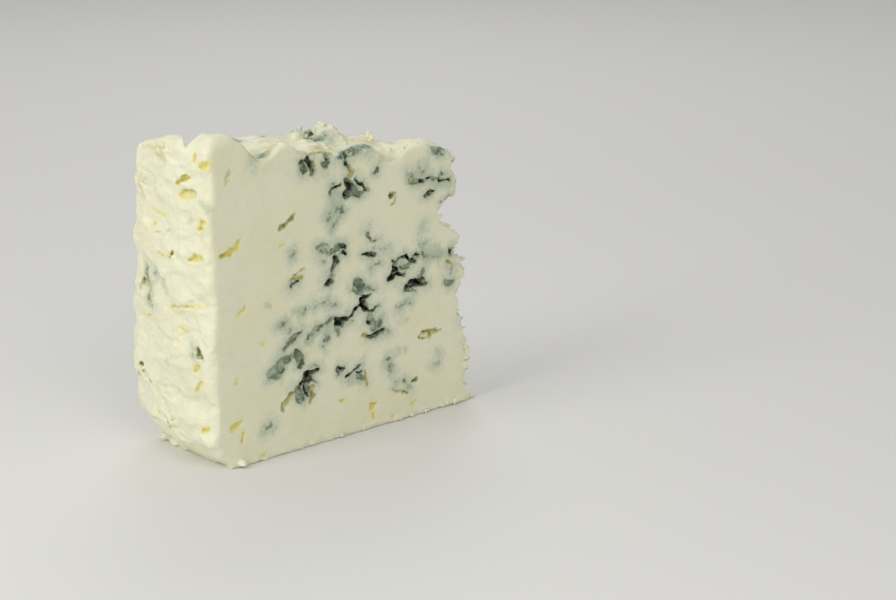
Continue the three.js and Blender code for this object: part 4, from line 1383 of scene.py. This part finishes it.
def cheese_material():
    make = CheeseMaker()
    colour = with_stains(make, with_olive(make, hazed(make, paste_colour(make))))
    colour = with_eyes(make, make.blend(make.mould_share, colour, felt_and_shade_colour(make)))
    skin = make.node("ShaderNodeBsdfPrincipled")
    make.put(skin.inputs["Base Color"], colour)
    make.put(skin.inputs["Roughness"], roughness(make))
    make.put(skin.inputs["Normal"], grainy_normal(make))
    skin.inputs["Subsurface Weight"].default_value = 0.4
    skin.inputs["Subsurface Radius"].default_value = (1.0, 0.8, 0.42)
    skin.inputs["Subsurface Scale"].default_value = 1.5 * MM
    skin.inputs["IOR"].default_value = 1.45
    output = make.node("ShaderNodeOutputMaterial")
    make.put(output.inputs["Surface"], skin.outputs["BSDF"])
    return make.material


cheese = cheese_material()
for piece in (wedge, crumbs):
    piece.data.materials.append(cheese)
    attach(piece, "root")
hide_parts("cheese")

# %% [markdown]
# ## Light, floor and camera
# A large soft light on the rim's side makes the rim the brightest face, a weaker one in front
# keeps the cut face readable, and the floor is plain and pale.

# %% Floor
FLOOR_HALF = 2.5


def plain_material(name, colour, roughness):
    make = Maker(name)
    skin = make.node("ShaderNodeBsdfPrincipled")
    skin.inputs["Base Color"].default_value = colour
    skin.inputs["Roughness"].default_value = roughness
    output = make.node("ShaderNodeOutputMaterial")
    make.put(output.inputs["Surface"], skin.outputs["BSDF"])
    return make.material


corners = np.array([(-1, -1, 0), (1, -1, 0), (1, 1, 0), (-1, 1, 0)]) * FLOOR_HALF / MM
floor = mesh_from("floor", corners, np.array([[0, 1, 2, 3]]))
floor.data.materials.append(plain_material("pale floor", tint(226, 225, 222), 0.6))

# %% Lights
WEDGE_MIDDLE = Vector((0, 0, 0.045))


def area_light(name, place, size, power):
    light = bpy.data.lights.new(name, "AREA")
    light.shape, light.size, light.energy = "DISK", size, power
    made = bpy.data.objects.new(name, light)
    made.location = place
    made.rotation_euler = (WEDGE_MIDDLE - Vector(place)).to_track_quat("-Z", "Y").to_euler()
    bpy.context.scene.collection.objects.link(made)


area_light("key", (-0.75, -0.12, 0.5), 0.45, 3.2)
area_light("fill", (-0.12, -0.62, 0.5), 0.5, 1.15)
area_light("back", (0.35, 0.6, 0.6), 0.5, 1.0)
world = bpy.data.worlds.new("studio")
world.use_nodes = True
world.node_tree.nodes["Background"].inputs["Color"].default_value = tint(216, 216, 214)
world.node_tree.nodes["Background"].inputs["Strength"].default_value = 0.72
bpy.context.scene.world = world
bpy.context.scene.view_settings.view_transform = "Standard"

# %% Camera
CAMERA_PLACE = (-0.2986, -0.5337, 0.2136)
CAMERA_PITCH = 16  # degrees below level
CAMERA_HEADING = -32.75  # degrees, turned from looking along +Y
LENS, SENSOR_WIDTH = 88.4, 36  # mm

camera_data = bpy.data.cameras.new("camera")
camera_data.lens = LENS
camera_data.sensor_width = SENSOR_WIDTH
camera = bpy.data.objects.new("camera", camera_data)
camera.location = CAMERA_PLACE
camera.rotation_euler = (math.radians(90 - CAMERA_PITCH), 0, math.radians(CAMERA_HEADING))
bpy.context.scene.collection.objects.link(camera)
bpy.context.scene.camera = camera
